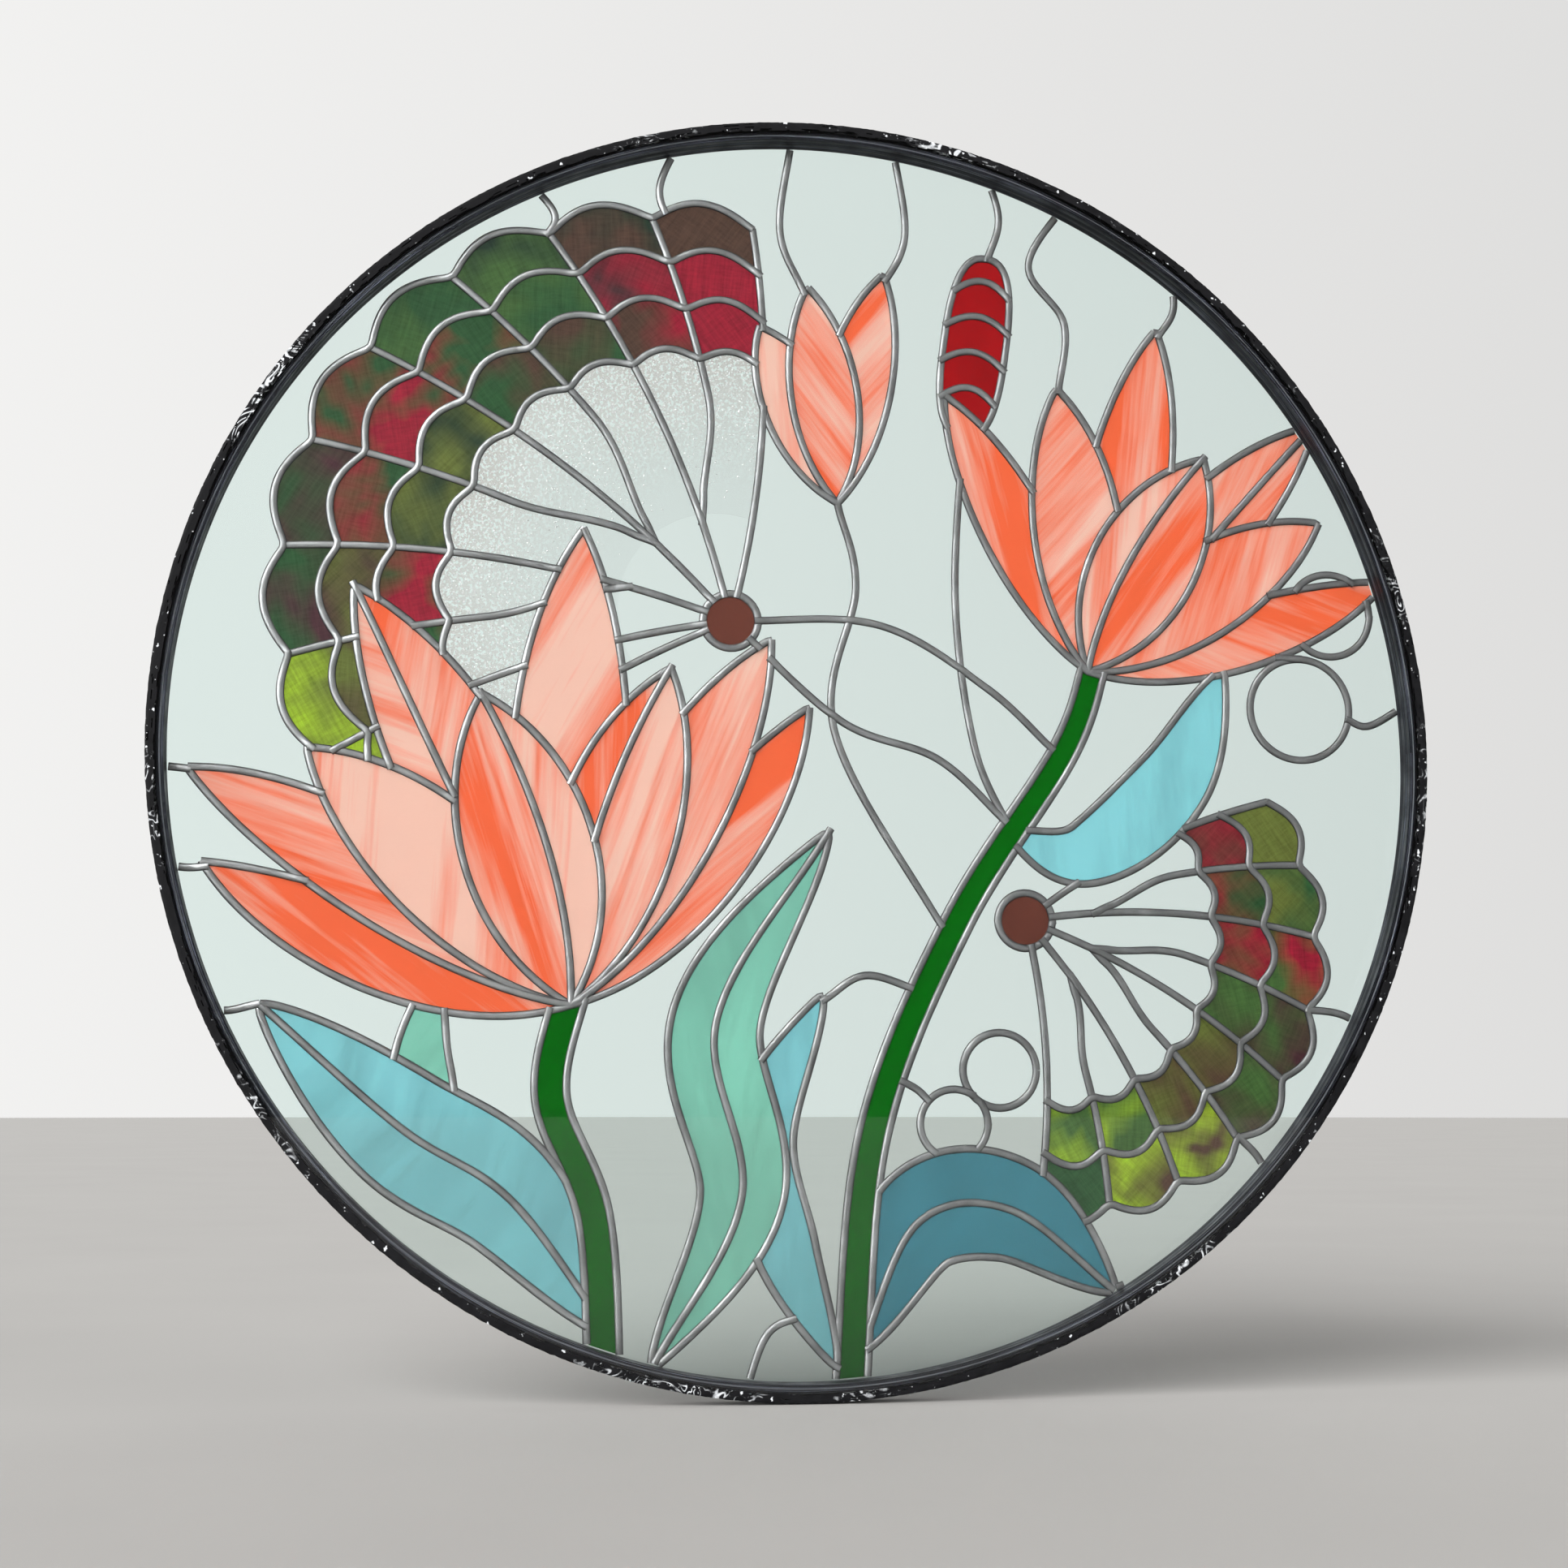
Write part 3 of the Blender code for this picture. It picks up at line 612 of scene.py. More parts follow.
def put_uv(mesh, values):
    """A UV map from one value a vertex or, where the array is longer, one a face corner."""
    layer = mesh.uv_layers.new(name="UVMap")
    if len(values) == len(mesh.vertices):
        corner = np.empty(len(mesh.loops), int)
        mesh.loops.foreach_get("vertex_index", corner)
        values = values[corner]
    layer.uv.foreach_set("vector", np.asarray(values, np.float32).ravel())


def polar(reach, angle, height):
    return reach * math.cos(angle), reach * math.sin(angle), height


def rounded(mesh, sharpest, turn_out=False):
    """Drop loose points, and shade smooth up to an angle in degrees."""
    shape = bmesh.new()
    shape.from_mesh(mesh)
    bmesh.ops.delete(shape, geom=[v for v in shape.verts if not v.link_faces], context="VERTS")
    if turn_out:
        bmesh.ops.recalc_face_normals(shape, faces=shape.faces)
    shape.to_mesh(mesh)
    shape.free()
    mesh.shade_smooth()
    mesh.set_sharp_from_angle(angle=math.radians(sharpest))
    return mesh


def turned(profile, sides, shift=lambda angle, j: 0.0):
    """A ring turned round Z from a closed profile of (radius, height) points.

    shift gives the offset of the radius at an angle and a profile point."""
    count = len(profile)
    verts = [polar(radius + shift(angle, j), angle, height)
             for angle in (2 * math.pi * k / sides for k in range(sides))
             for j, (radius, height) in enumerate(profile)]
    faces, marks = [], []
    run = lengths(np.array(profile + profile[:1]))
    for k in range(sides):
        onward = (k + 1) % sides
        u0, u1 = (s / sides * 2 * math.pi * profile[0][0] for s in (k, k + 1))
        for j in range(count):
            beside = (j + 1) % count
            faces.append((k * count + j, onward * count + j, onward * count + beside,
                          k * count + beside))
            marks += [(u0, run[j]), (u1, run[j]), (u1, run[j + 1]), (u0, run[j + 1])]
    mesh = mesh_of(verts, faces)
    put_uv(mesh, np.array(marks))
    return rounded(mesh, 35, turn_out=True)


def pane(radius, low, high, arris):
    """A round pane with a ground arris on both rims."""
    shape = bmesh.new()
    bmesh.ops.create_cone(shape, cap_ends=True, segments=RIM_SIDES, radius1=radius,
                          radius2=radius, depth=high - low,
                          matrix=Matrix.Translation((0, 0, (high + low) / 2)))
    rims = [e for e in shape.edges if abs(e.verts[0].co.z - e.verts[1].co.z) < 1e-6]
    bmesh.ops.bevel(shape, geom=rims, offset=arris, segments=2, profile=0.6, affect="EDGES")
    for face in shape.faces:
        face.smooth = len(face.verts) == 4
    mesh = bpy.data.meshes.new("pane")
    shape.to_mesh(mesh)
    shape.free()
    return mesh


def two_sheets(faces, count, first=0):
    """Faces of a lower and an upper sheet of points, and of the walls between them."""
    edges = {edge for face in faces for edge in edges_of(face)}
    made = [face[::-1] for face in faces] + [[v + count for v in face] for face in faces]
    made += [(a, b, b + count, a + count) for a, b in edges if (b, a) not in edges]
    return [[v + first for v in face] for face in made]


def shell(lower, upper, faces, wear):
    """A closed shell from two sheets of points that share their faces."""
    mesh = mesh_of(lower + upper, two_sheets(faces, len(lower)))
    put_uv(mesh, np.array([(math.atan2(y, x) * PANE_RADIUS, z + math.hypot(x, y))
                           for x, y, z in lower + upper]))
    put_floats(mesh, "wear", wear + wear)
    return rounded(mesh, 45)


# Materials ----------------------------------------------------------------------------------

def rgba(colour):
    """A colour with its alpha, or the socket that gives one."""
    return colour if isinstance(colour, bpy.types.NodeSocket) else (*colour, 1.0)


class Nodes:
    """A node tree and short ways to add its nodes."""

    def __init__(self, tree):
        self.tree = tree

    def node(self, kind, inputs=None, **settings):
        node = self.tree.nodes.new(kind)
        count = len(self.tree.nodes)
        node.location = (-1800 + 190 * (count % 9), 300 - 240 * (count // 9))
        for key, value in settings.items():
            setattr(node, key, value)
        for key, value in (inputs or {}).items():
            if isinstance(value, bpy.types.NodeSocket):
                self.tree.links.new(value, node.inputs[key])
            else:
                node.inputs[key].default_value = value
        return node

    def add(self, kind, inputs=None, output=0, **settings):
        """Add a node and give one of its outputs."""
        return self.node(kind, inputs, **settings).outputs[output]

    def parts(self, vector):
        return self.node("ShaderNodeSeparateXYZ", {0: vector}).outputs

    def vector(self, x, y, z):
        return self.add("ShaderNodeCombineXYZ", {0: x, 1: y, 2: z})

    def span(self, value, low, high, start=0.0, stop=1.0):
        """The value taken from low..high to start..stop, and held there."""
        return self.add("ShaderNodeMapRange", {"Value": value, "From Min": low, "From Max": high,
                                               "To Min": start, "To Max": stop})

    def math(self, operation, a, b=0.0):
        return self.add("ShaderNodeMath", {0: a, 1: b}, operation=operation)

    def plus(self, a, b):
        return self.math("ADD", a, b)

    def minus(self, a, b):
        return self.math("SUBTRACT", a, b)

    def times(self, a, b):
        return self.math("MULTIPLY", a, b)


class Finish(Nodes):
    """A Principled material with a pattern of nodes."""

    def __init__(self, name, **values):
        self.material = bpy.data.materials.new(name)
        self.material.use_nodes = True
        super().__init__(self.material.node_tree)
        self.shader = self.tree.nodes["Principled BSDF"]
        for key, value in values.items():
            socket = self.shader.inputs[key.replace("_", " ").title().replace("Ior", "IOR")]
            socket.default_value = rgba(value) if socket.type == "RGBA" else value

    def where(self, source="Object", scale=(1, 1, 1), turn=(0, 0, 0)):
        """Object or UV coordinates, scaled and turned."""
        place = self.add("ShaderNodeTexCoord", output=source)
        return self.add("ShaderNodeMapping", {"Vector": place, "Scale": scale, "Rotation": turn})

    def noise(self, vector, scale, detail=3.0, rough=0.5, bend=0.0):
        return self.add("ShaderNodeTexNoise", {"Vector": vector, "Scale": scale, "Detail": detail,
                                               "Roughness": rough, "Distortion": bend})

    def streaks(self, along, across, detail, rough=0.5, bend=0.0, turn=0.0):
        """Noise on the UV map, with its scale along U and V."""
        spot = self.where("UV", (along, across, 1), (0, 0, turn))
        return self.noise(spot, 1.0, detail, rough, bend)

    def mix(self, share, a, b, blend="MIX"):
        return self.add("ShaderNodeMix", {0: share, 6: rgba(a), 7: rgba(b)}, 2, data_type="RGBA",
                        blend_type=blend)

    def attribute(self, name, output="Fac"):
        return self.add("ShaderNodeAttribute", output=output, attribute_name=name)

    def bump(self, height, strength, distance):
        self.feed("Normal", self.add("ShaderNodeBump", {"Height": height, "Strength": strength,
                                                        "Distance": distance}))

    def feed(self, name, socket):
        self.tree.links.new(socket, self.shader.inputs[name])


FAINT = (0.5, 0.5, 0.5)  # specular tint of what shines little


def glass_finish(name, tint):
    made = Finish(name, base_color=tint, transmission_weight=1.0, ior=1.5, roughness=0.0,
                  specular_tint=FAINT)
    smears = made.noise(made.where(scale=(1, 1, 0.35)), 9.0, 4.0, 0.6)
    made.feed("Roughness", made.span(smears, 0.55, 0.8, 0.0, 0.035))
    return made.material


def spacer_finish(colours):
    made = Finish("spacer_metal", metallic=0.4, roughness=0.5, specular_ior_level=0.05)
    brushed_and_glint_streaks = made.streaks(6, 1500, 3.0, 0.6)
    blotches = made.noise(made.where(), 45.0, 4.0, 0.6)
    # lighter streaks along the ring: the metal's brushed grain, with painted glints
    base = made.mix(made.span(brushed_and_glint_streaks, 0.55, 0.66), colours.spacer, colours.spacer * 13.0)
    base = made.mix(made.span(blotches, 0.52, 0.75), base, (0.02, 0.021, 0.025))
    radius = made.add("ShaderNodeVectorMath", {0: made.where(scale=(1, 0, 1))}, "Value",
                      operation="LENGTH")
    # a pale line along the groove at the seam: painted highlight
    seam = made.span(made.math("ABSOLUTE", made.minus(radius, SPACER_INNER + SEAM)),
                     0.0002, 0.0006, 0.8, 0.0)
    made.feed("Base Color", made.mix(seam, base, (0.20, 0.21, 0.23)))
    made.feed("Roughness", made.span(blotches, 0.3, 0.7, 0.3, 0.6))
    return made.material


def sealant_finish(colours):
    """Near-black sealant, scratched and chipped to pale grey where the wear is high."""
    made = Finish("sealant_black", roughness=0.65, specular_ior_level=0.08)
    place = made.where()
    cloud = made.noise(place, 70.0, 5.0, 0.65)
    curls = made.noise(place, 32.0, 2.0, 0.5, 1.3)
    scratch = made.streaks(30, 900, 2.0, turn=0.02)
    dirt = made.mix(made.span(cloud, 0.4, 0.72), colours.sealant, (0.007, 0.007, 0.008))
    patchy = made.times(made.minus(cloud, 0.5), 1.3)
    worn = made.span(made.plus(made.attribute("wear"), patchy), 0.36, 0.62)
    rims = made.span(made.math("PINGPONG", curls, 0.05), 0.007, 0.017, 1.0, 0.0)
    line = made.span(scratch, 0.64, 0.70, 0.0, 0.5)
    specks = made.span(made.noise(place, 240.0, 2.0, 0.5), 0.69, 0.73)
    marks = made.math("MAXIMUM", made.times(worn, made.math("MAXIMUM", rims, line)), specks)
    made.feed("Base Color", made.mix(marks, dirt, (0.46, 0.475, 0.49)))
    made.feed("Roughness", made.span(cloud, 0.3, 0.7, 0.55, 0.8))
    made.bump(made.plus(cloud, made.times(marks, 0.5)), 0.5, 0.0006)
    return made.material


def flake_finish():
    made = Finish("pale_flake", roughness=0.6)
    tone = made.noise(made.where(), 320.0, 2.0)
    made.feed("Base Color", made.mix(made.span(tone, 0.35, 0.65), (0.05, 0.052, 0.055),
                                     (0.48, 0.49, 0.50)))
    return made.material


def seed_finish():
    # near-white and nearly opaque: the seeds' colour is a painted glint of clear bubbles
    made = Finish("clear_seed", base_color=(0.97, 1.0, 0.99), transmission_weight=0.1,
                  roughness=0.1, ior=1.45)
    haze = made.noise(made.where(), 60.0, 2.0)
    made.feed("Roughness", made.span(haze, 0.3, 0.7, 0.03, 0.2))
    return made.material


def seeded_film_finish():
    """Clear film, hazy where its wear attribute, the density of the seeds, is high, and tinted
    brownish grey there between clear dots: the tint is a painted shadow.
    """
    made = Finish("seeded_film", transmission_weight=1.0, ior=1.45, specular_ior_level=0.25)
    dense = made.attribute("wear")
    dots = made.noise(made.where(), 430.0, 1.0)
    # brownish-grey tint where the seeds are dense, left clear at the dots: painted shadow
    haze = made.times(dense, made.span(dots, 0.52, 0.6, 1.0, 0.1))
    made.feed("Base Color", made.mix(haze, (1.0, 1.0, 1.0), (0.82, 0.75, 0.735)))
    made.feed("Roughness", made.span(dense, 0.0, 0.6, 0.0, 0.25))
    return made.material


def lead_finish(colours):
    """Lead tarnished in patches, with dark flanks of painted contact shade and some grime, and
    painted shade that darkens it to the right.
    """
    made = Finish("lead_strip", metallic=0.8, roughness=0.38)
    place = made.where()
    across = made.parts(place)[0]
    # tarnish in patches, plus painted shade that darkens the lead towards the right
    tarnish_and_painted_shade = made.minus(made.noise(place, 26.0, 4.0, 0.55),
                         made.span(across, -0.3, 0.4, -0.05, 0.16))
    tarnished_shaded_crown = made.mix(made.span(tarnish_and_painted_shade, 0.35, 0.68), colours.lead * 0.6, colours.lead * 1.12)
    crown = made.span(made.attribute("crown"), 0.35, 0.92)
    # the flanks go dark: painted shade where the strip meets the film, with some grime
    made.feed("Base Color", made.mix(crown, colours.lead * 0.2, tarnished_shaded_crown))
    made.feed("Roughness", made.span(tarnish_and_painted_shade, 0.3, 0.7, 0.52, 0.40))
    made.bump(made.noise(place, 900.0, 2.0), 0.25, 0.0001)
    return made.material


def streaked_film(name, pale, deep, transmission, roughness, streak, low, high):
    """Film with brushed streaks of two colours that run along U."""
    made = Finish(name, transmission_weight=transmission, roughness=roughness, ior=1.45,
                  specular_ior_level=0.25, specular_tint=FAINT)
    broad = made.streaks(*streak, 4.0, 0.55, 0.3)
    fine = made.streaks(streak[0] * 4, streak[1] * 9, 3.0, 0.6)
    both = made.plus(made.times(broad, 0.78), made.times(fine, 0.22))
    both = made.plus(both, made.attribute("shade"))
    made.feed("Base Color", made.mix(made.span(both, low, high), pale, deep))
    made.bump(fine, 0.12, 0.0002)
    return made.material


def pad_finish():
    """Mottled film whose two tones, given for each piece, fade into each other like dyed cloth."""
    made = Finish("pad_film", transmission_weight=0.62, roughness=0.38, ior=1.45,
                  specular_ior_level=0.3, specular_tint=FAINT)
    blend = made.noise(made.where(), 19.0, 2.0, 0.5, 0.4)
    tone = made.mix(made.span(blend, 0.38, 0.62), *(made.attribute(name, "Color")
                                                    for name in ("tone", "tone2")))
    threads = made.plus(made.times(made.streaks(28, 320, 4.0, 0.7), 0.6),
                        made.times(made.streaks(420, 60, 3.0, 0.7), 0.4))
    shade = made.span(threads, 0.32, 0.68, 0.55, 1.5)
    grey = made.add("ShaderNodeCombineColor", {0: shade, 1: shade, 2: shade})
    made.feed("Base Color", made.mix(1.0, tone, grey, "MULTIPLY"))
    made.bump(threads, 0.15, 0.0002)
    return made.material


# Settings -----------------------------------------------------------------------------------

def length_property(name, description, default, low, high):
    return bpy.props.FloatProperty(name=name, description=description, default=default, min=low,
                                   max=high, precision=5, unit="LENGTH", subtype="DISTANCE")


def count_property(name, description, default, high):
    return bpy.props.FloatProperty(name=name, description=description, default=default, min=0.0,
                                   max=high)


def colour_property(name, description, *default):
    return bpy.props.FloatVectorProperty(name=name, description=description, default=default,
                                         min=0.0, max=1.0, size=3, subtype="COLOR")


class LeadedWindowSizes(bpy.types.PropertyGroup):
    """Sizes of the window's parts"""
    arris: length_property("Arris", "Width of the ground edge of the panes", 0.0005, 0.0001, 0.002)
    lead_width: length_property("Lead width", "Width of the lead strip", 0.0058, 0.002, 0.012)
    lead_height: length_property("Lead height", "Height of the lead strip", 0.0017, 0.0005, 0.003)
    lead_step: length_property("Lead step", "Distance between the strip's sections", 0.004,
                               0.002, 0.02)
    lap: length_property("Lap", "How far the end of a strip laps over the next", 0.0026, 0.0, 0.005)
    lap_rise: length_property("Lap rise", "How far a strip rises where it crosses another",
                              0.0010, 0.0, 0.002)
    film_lap: length_property("Film lap", "How far the film runs on under the lead", 0.0016,
                              0.0005, 0.0025)
    seed_size: length_property("Seed size", "Radius of the seeds in the clear film", 0.00062,
                               0.0001, 0.002)
    seed_count: count_property("Seeds", "Seeds in a square metre", 170000.0, 400000.0)
    flake_length: length_property("Flake length", "Length of the flakes on the edge", 0.0038,
                                  0.0005, 0.008)
    flake_count: count_property("Flakes", "Flakes in a square metre", 140000.0, 3000000.0)


class LeadedWindowColours(bpy.types.PropertyGroup):
    """Colours of the window's parts"""
    # the rear pane's green tint is the glass's own, made deeper to carry painted shade of the
    # shadow behind the window
    rear_glass: colour_property("Rear glass", "Tint of the rear pane", 0.897, 1.0, 0.974)
    front_glass: colour_property("Front glass", "Tint of the front pane", 0.985, 1.0, 0.996)
    spacer: colour_property("Spacer", "Metal of the spacer bar", 0.012, 0.013, 0.017)
    sealant: colour_property("Sealant", "Sealant at the edge", 0.0025, 0.0025, 0.003)
    lead: colour_property("Lead", "Lead strip", 0.30, 0.303, 0.306)
    coral_pale: colour_property("Pale coral", "Pale streaks of the petals", 1.0, 0.62, 0.50)
    coral_deep: colour_property("Deep coral", "Deep streaks of the petals", 1.0, 0.16, 0.055)
    stem: colour_property("Stem", "Green of the stems", 0.0, 0.17, 0.004)
    aqua: colour_property("Aqua", "Blue of the leaves", 0.34, 0.77, 0.84)
    aqua_green: colour_property("Aqua green", "Green of the leaves", 0.32, 0.72, 0.58)
    teal: colour_property("Teal", "Deep blue of the low leaf", 0.09, 0.36, 0.46)
    scarlet: colour_property("Scarlet", "Red of the bulrush", 0.55, 0.008, 0.012)
    maroon: colour_property("Maroon", "Brown of the hubs", 0.24, 0.07, 0.05)
    floor: colour_property("Floor", "The pale floor", 0.265, 0.258, 0.248)


# Pieces -------------------------------------------------------------------------------------

class LEADED_OT_panes(bpy.types.Operator):
    """Make the two clear panes"""
    bl_idname = "leaded.panes"
    bl_label = "Panes"

    def execute(self, context):
        arris, colours = context.scene.leaded_sizes.arris, context.scene.leaded_colours
        for side, low, high, tint in (("rear", REAR_FACE, REAR_INNER, colours.rear_glass),
                                      ("front", FRONT_INNER, FRONT_FACE, colours.front_glass)):
            name = side + "_glass"
            finish_piece(pane(PANE_RADIUS, low, high, arris), name, glass_finish(name, tint),
                         "glass", side + "_pane")
        return {"FINISHED"}


# Worn places of the edge: angle, half width in degrees, amount
WORN = ((148, 6, 1.0), (76, 5, 0.6), (186, 8, 0.45), (215, 10, 0.45), (258, 12, 0.55),
        (275, 5, 0.5), (305, 9, 0.5), (355, 10, 0.45), (15, 6, 0.5), (105, 8, 0.4))


def wear_at(angle):
    """How worn the edge is at an angle in radians, from 0 to 1."""
    turn = math.degrees(angle) % 360
    most = 0.12 + 0.25 * abs(noise.noise((math.cos(angle) * 9, math.sin(angle) * 9, 3.1)))
    for centre, width, amount in WORN:
        off = abs((turn - centre + 180) % 360 - 180) / width
        most = max(most, amount * math.exp(-off * off))
    return most


def worn_coat():
    """The black coat smeared over the panes' edges, lumpy and flaked off in places."""
    side = PANE_RADIUS + 0.0002
    front = [(r, FRONT_FACE + 0.00005) for r in np.arange(*COAT_FRONT)]
    rear = [(r, REAR_FACE - 0.00005) for r in np.arange(*COAT_REAR)]
    path = (front + [(side - 0.0002, FRONT_FACE - 0.0001), (side, FRONT_FACE - 0.0007)]
            + [(side, z) for z in np.linspace(0.0235, 0.0045, 6)]
            + [(side, REAR_FACE + 0.0007), (side - 0.0002, REAR_FACE + 0.0001)] + rear)
    sides, count, first_rear = 1300, len(path), len(path) - len(rear)
    inner, outer, wear, faces = [], [], [], []
    for k in range(sides):
        angle = 2 * math.pi * k / sides
        for j, (r, z) in enumerate(path):
            spot = Vector((math.cos(angle), math.sin(angle), 0.02 * j)) * r
            lump = 0.5 + 0.5 * noise.noise(spot * 210)
            out, up = 0.0, 0.0002 + 0.00015 * lump
            if j >= first_rear:
                up = -0.0002 - 0.0001 * lump
            elif j >= len(front):
                out, up = 0.0002 + 0.0008 * lump * lump, 0.0
            inner.append(polar(r, angle, z))
            outer.append(polar(r + out, angle, z + up))
        wear += [wear_at(angle)] * count
    for k in range(sides):
        angle = 2 * math.pi * (k + 0.5) / sides
        worn = wear_at(angle)
        for j in range(count - 1):
            spot = Vector((math.cos(angle), math.sin(angle), 0.05 * j)) * 0.474
            patch = noise.noise(spot * 75) + 0.45 * noise.noise(spot * 160)
            limit = -0.62 + 0.3 * worn + (0.55, 0.25, 0.05, 0.0)[min(j, count - 2 - j, 3)]
            if j in (len(front), first_rear - 2):
                limit += 0.35
            if patch > limit:
                a, b = k * count + j, (k + 1) % sides * count + j
                faces.append((a, a + 1, b + 1, b))
    return shell(inner, outer, faces, wear)


class LEADED_OT_edge(bpy.types.Operator):
    """Make the spacer bar, the sealant and the worn coat over the panes' edges"""
    bl_idname = "leaded.edge"
    bl_label = "Edge"

    def execute(self, context):
        colours = context.scene.leaded_colours
        (low, high), cut, seam = EDGE, 0.0018, SPACER_INNER + SEAM
        spacer = [(SPACER_OUTER, high - cut), (SPACER_OUTER, low + cut), (SPACER_OUTER - cut, low),
                  (SPACER_INNER, low)]
        spacer += [(SPACER_INNER + (0.0004 if k in (3, 4, 8, 9) else 0.0),
                    low + (high - low) * k / 12) for k in range(1, 12)]
        spacer += [(SPACER_INNER, high), (seam - 0.0003, high), (seam, high - 0.0003),
                   (seam + 0.0003, high), (SPACER_OUTER - cut, high)]
        finish_piece(turned(spacer, 480), "spacer_ring", spacer_finish(colours), "spacer",
                     "spacer_bar")

        def lump(angle, j):
            spot = Vector((math.cos(angle), math.sin(angle), 0.03 * j)) * 60
            side = 0.00025 * noise.noise(spot) + 0.00015 * noise.noise(spot * 3)
            return min(0.0, side) if j < 8 else side
        sealant = [(PANE_RADIUS + 0.0001, low + (high - low) * (7 - k) / 7) for k in range(8)]
        sealant += [(SEALANT_MIDDLE, low)]
        sealant += [(SEALANT_INNER, low + (high - low) * k / 5) for k in range(6)]
        sealant += [(SEALANT_MIDDLE, high)]
        mesh = turned(sealant, 720, lump)
        put_floats(mesh, "wear", [wear_at(math.atan2(v.co.y, v.co.x)) for v in mesh.vertices])
        black = sealant_finish(colours)
        finish_piece(mesh, "sealant_ring", black, "sealant", "edge_sealant")
        finish_piece(worn_coat(), "edge_coat", black, "sealant")
        return {"FINISHED"}


TONES = {
    "forest": (0.030, 0.115, 0.035), "moss": (0.075, 0.17, 0.04), "olive": (0.18, 0.21, 0.04),
    "umber": (0.115, 0.055, 0.035), "plum": (0.09, 0.028, 0.035), "crimson": (0.42, 0.010, 0.035),
    "lime": (0.46, 0.66, 0.03), "night": (0.022, 0.05, 0.028),
}
PAD_TONES = {  # one row of lobes a line, from the inner row out
    "left_pad": ("crimson umber olive forest plum moss forest crimson moss",
                 "crimson plum forest umber night olive night moss umber",
                 "umber night moss forest crimson forest plum olive lime"),
    "right_pad": ("moss lime umber olive lime forest crimson umber",
                  "forest umber lime plum moss crimson forest olive"),
}


GRAIN_SPREAD, SHADE_SPREAD = 48, 0.09  # how far cut pieces differ, in degrees and in tone


def tones_at(motif, point, chance):
    """The tone of the pad's cell at a point, and that of one beside it."""
    lobe, row = motif["rule"].cell(point)
    rows = PAD_TONES[motif["name"]]
    names = rows[min(row, len(rows) - 1)].split()
    last = len(names) - 1
    lobe = min(max(lobe, 0), last)
    return TONES[names[lobe]], TONES[names[min(max(lobe + chance.choice((-1, 1)), 0), last)]]


class LEADED_OT_film(bpy.types.Operator):
    """Make the coloured film of every motif"""
    bl_idname = "leaded.film"
    bl_label = "Film"

    def execute(self, context):
        sizes, colours = context.scene.leaded_sizes, context.scene.leaded_colours
        finishes = {"pad": pad_finish(),
                    "coral": streaked_film("coral_film", colours.coral_pale, colours.coral_deep,
                                           0.34, 0.4, (2.6, 30.0), 0.40, 0.60)}
        for look, share in (("stem", 0.85), ("aqua", 0.8), ("aqua_green", 0.8), ("teal", 0.8),
                            ("scarlet", 0.85), ("maroon", 0.8)):
            colour = getattr(colours, look)
            finishes[look] = streaked_film(look + "_film", colour * 0.82,
                                           [min(1.0, 1.14 * c) for c in colour], share, 0.12,
                                           (5.0, 18.0), 0.3, 0.7)
        chance = random.Random(7)
        made = {}
        for motif, loops in film_cells(sizes.lead_width / 2 - sizes.film_lap):
            points, faces = fill(loops)
            along, side = axes(motif["grain"] + chance.uniform(-GRAIN_SPREAD, GRAIN_SPREAD))
            move = np.array([chance.uniform(0, 3), chance.uniform(0, 3)])
            uv = np.column_stack([points @ along, points @ side]) + move
            part = made.setdefault(motif["name"], {"look": motif["look"], "verts": [], "faces": [],
                                                   "uv": [], "shade": [], "tone": [], "tone2": []})
            part["faces"] += two_sheets(faces.tolist(), len(points), len(part["verts"]))
            for level in FILM:
                part["verts"] += [(x, y, level) for x, y in points.tolist()]
                part["uv"] += uv.tolist()
            if motif["rule"]:
                tones = tones_at(motif, points.mean(0) / PICTURE_RADIUS, chance)
                for key, tone in zip(("tone", "tone2"), tones):
                    part[key] += [tone] * (2 * len(points))
            part["shade"] += [chance.uniform(-SHADE_SPREAD, SHADE_SPREAD)] * (2 * len(points))
        for name, part in made.items():
            mesh = mesh_of(part["verts"], part["faces"])
            put_uv(mesh, np.array(part["uv"]))
            put_floats(mesh, "shade", part["shade"])
            for key in ("tone", "tone2"):
                if part[key]:
                    put_colours(mesh, key, np.array(part[key]))
            finish_piece(mesh, name + "_film", finishes[part["look"]], part["look"],
                         "film_" + name)
        return {"FINISHED"}


CORNER = math.radians(38)  # a line that turns more than this is laid in two strips
SHORTEST_STRIP = 0.002
MEETS = 0.0035  # an end nearer another strip than this laps it
ON_LINE, SHORT_LAP = 0.0002, 0.0006  # an end this near the other's middle laps it only a little
STACK = 0.00002  # step in height that keeps strips from lying level


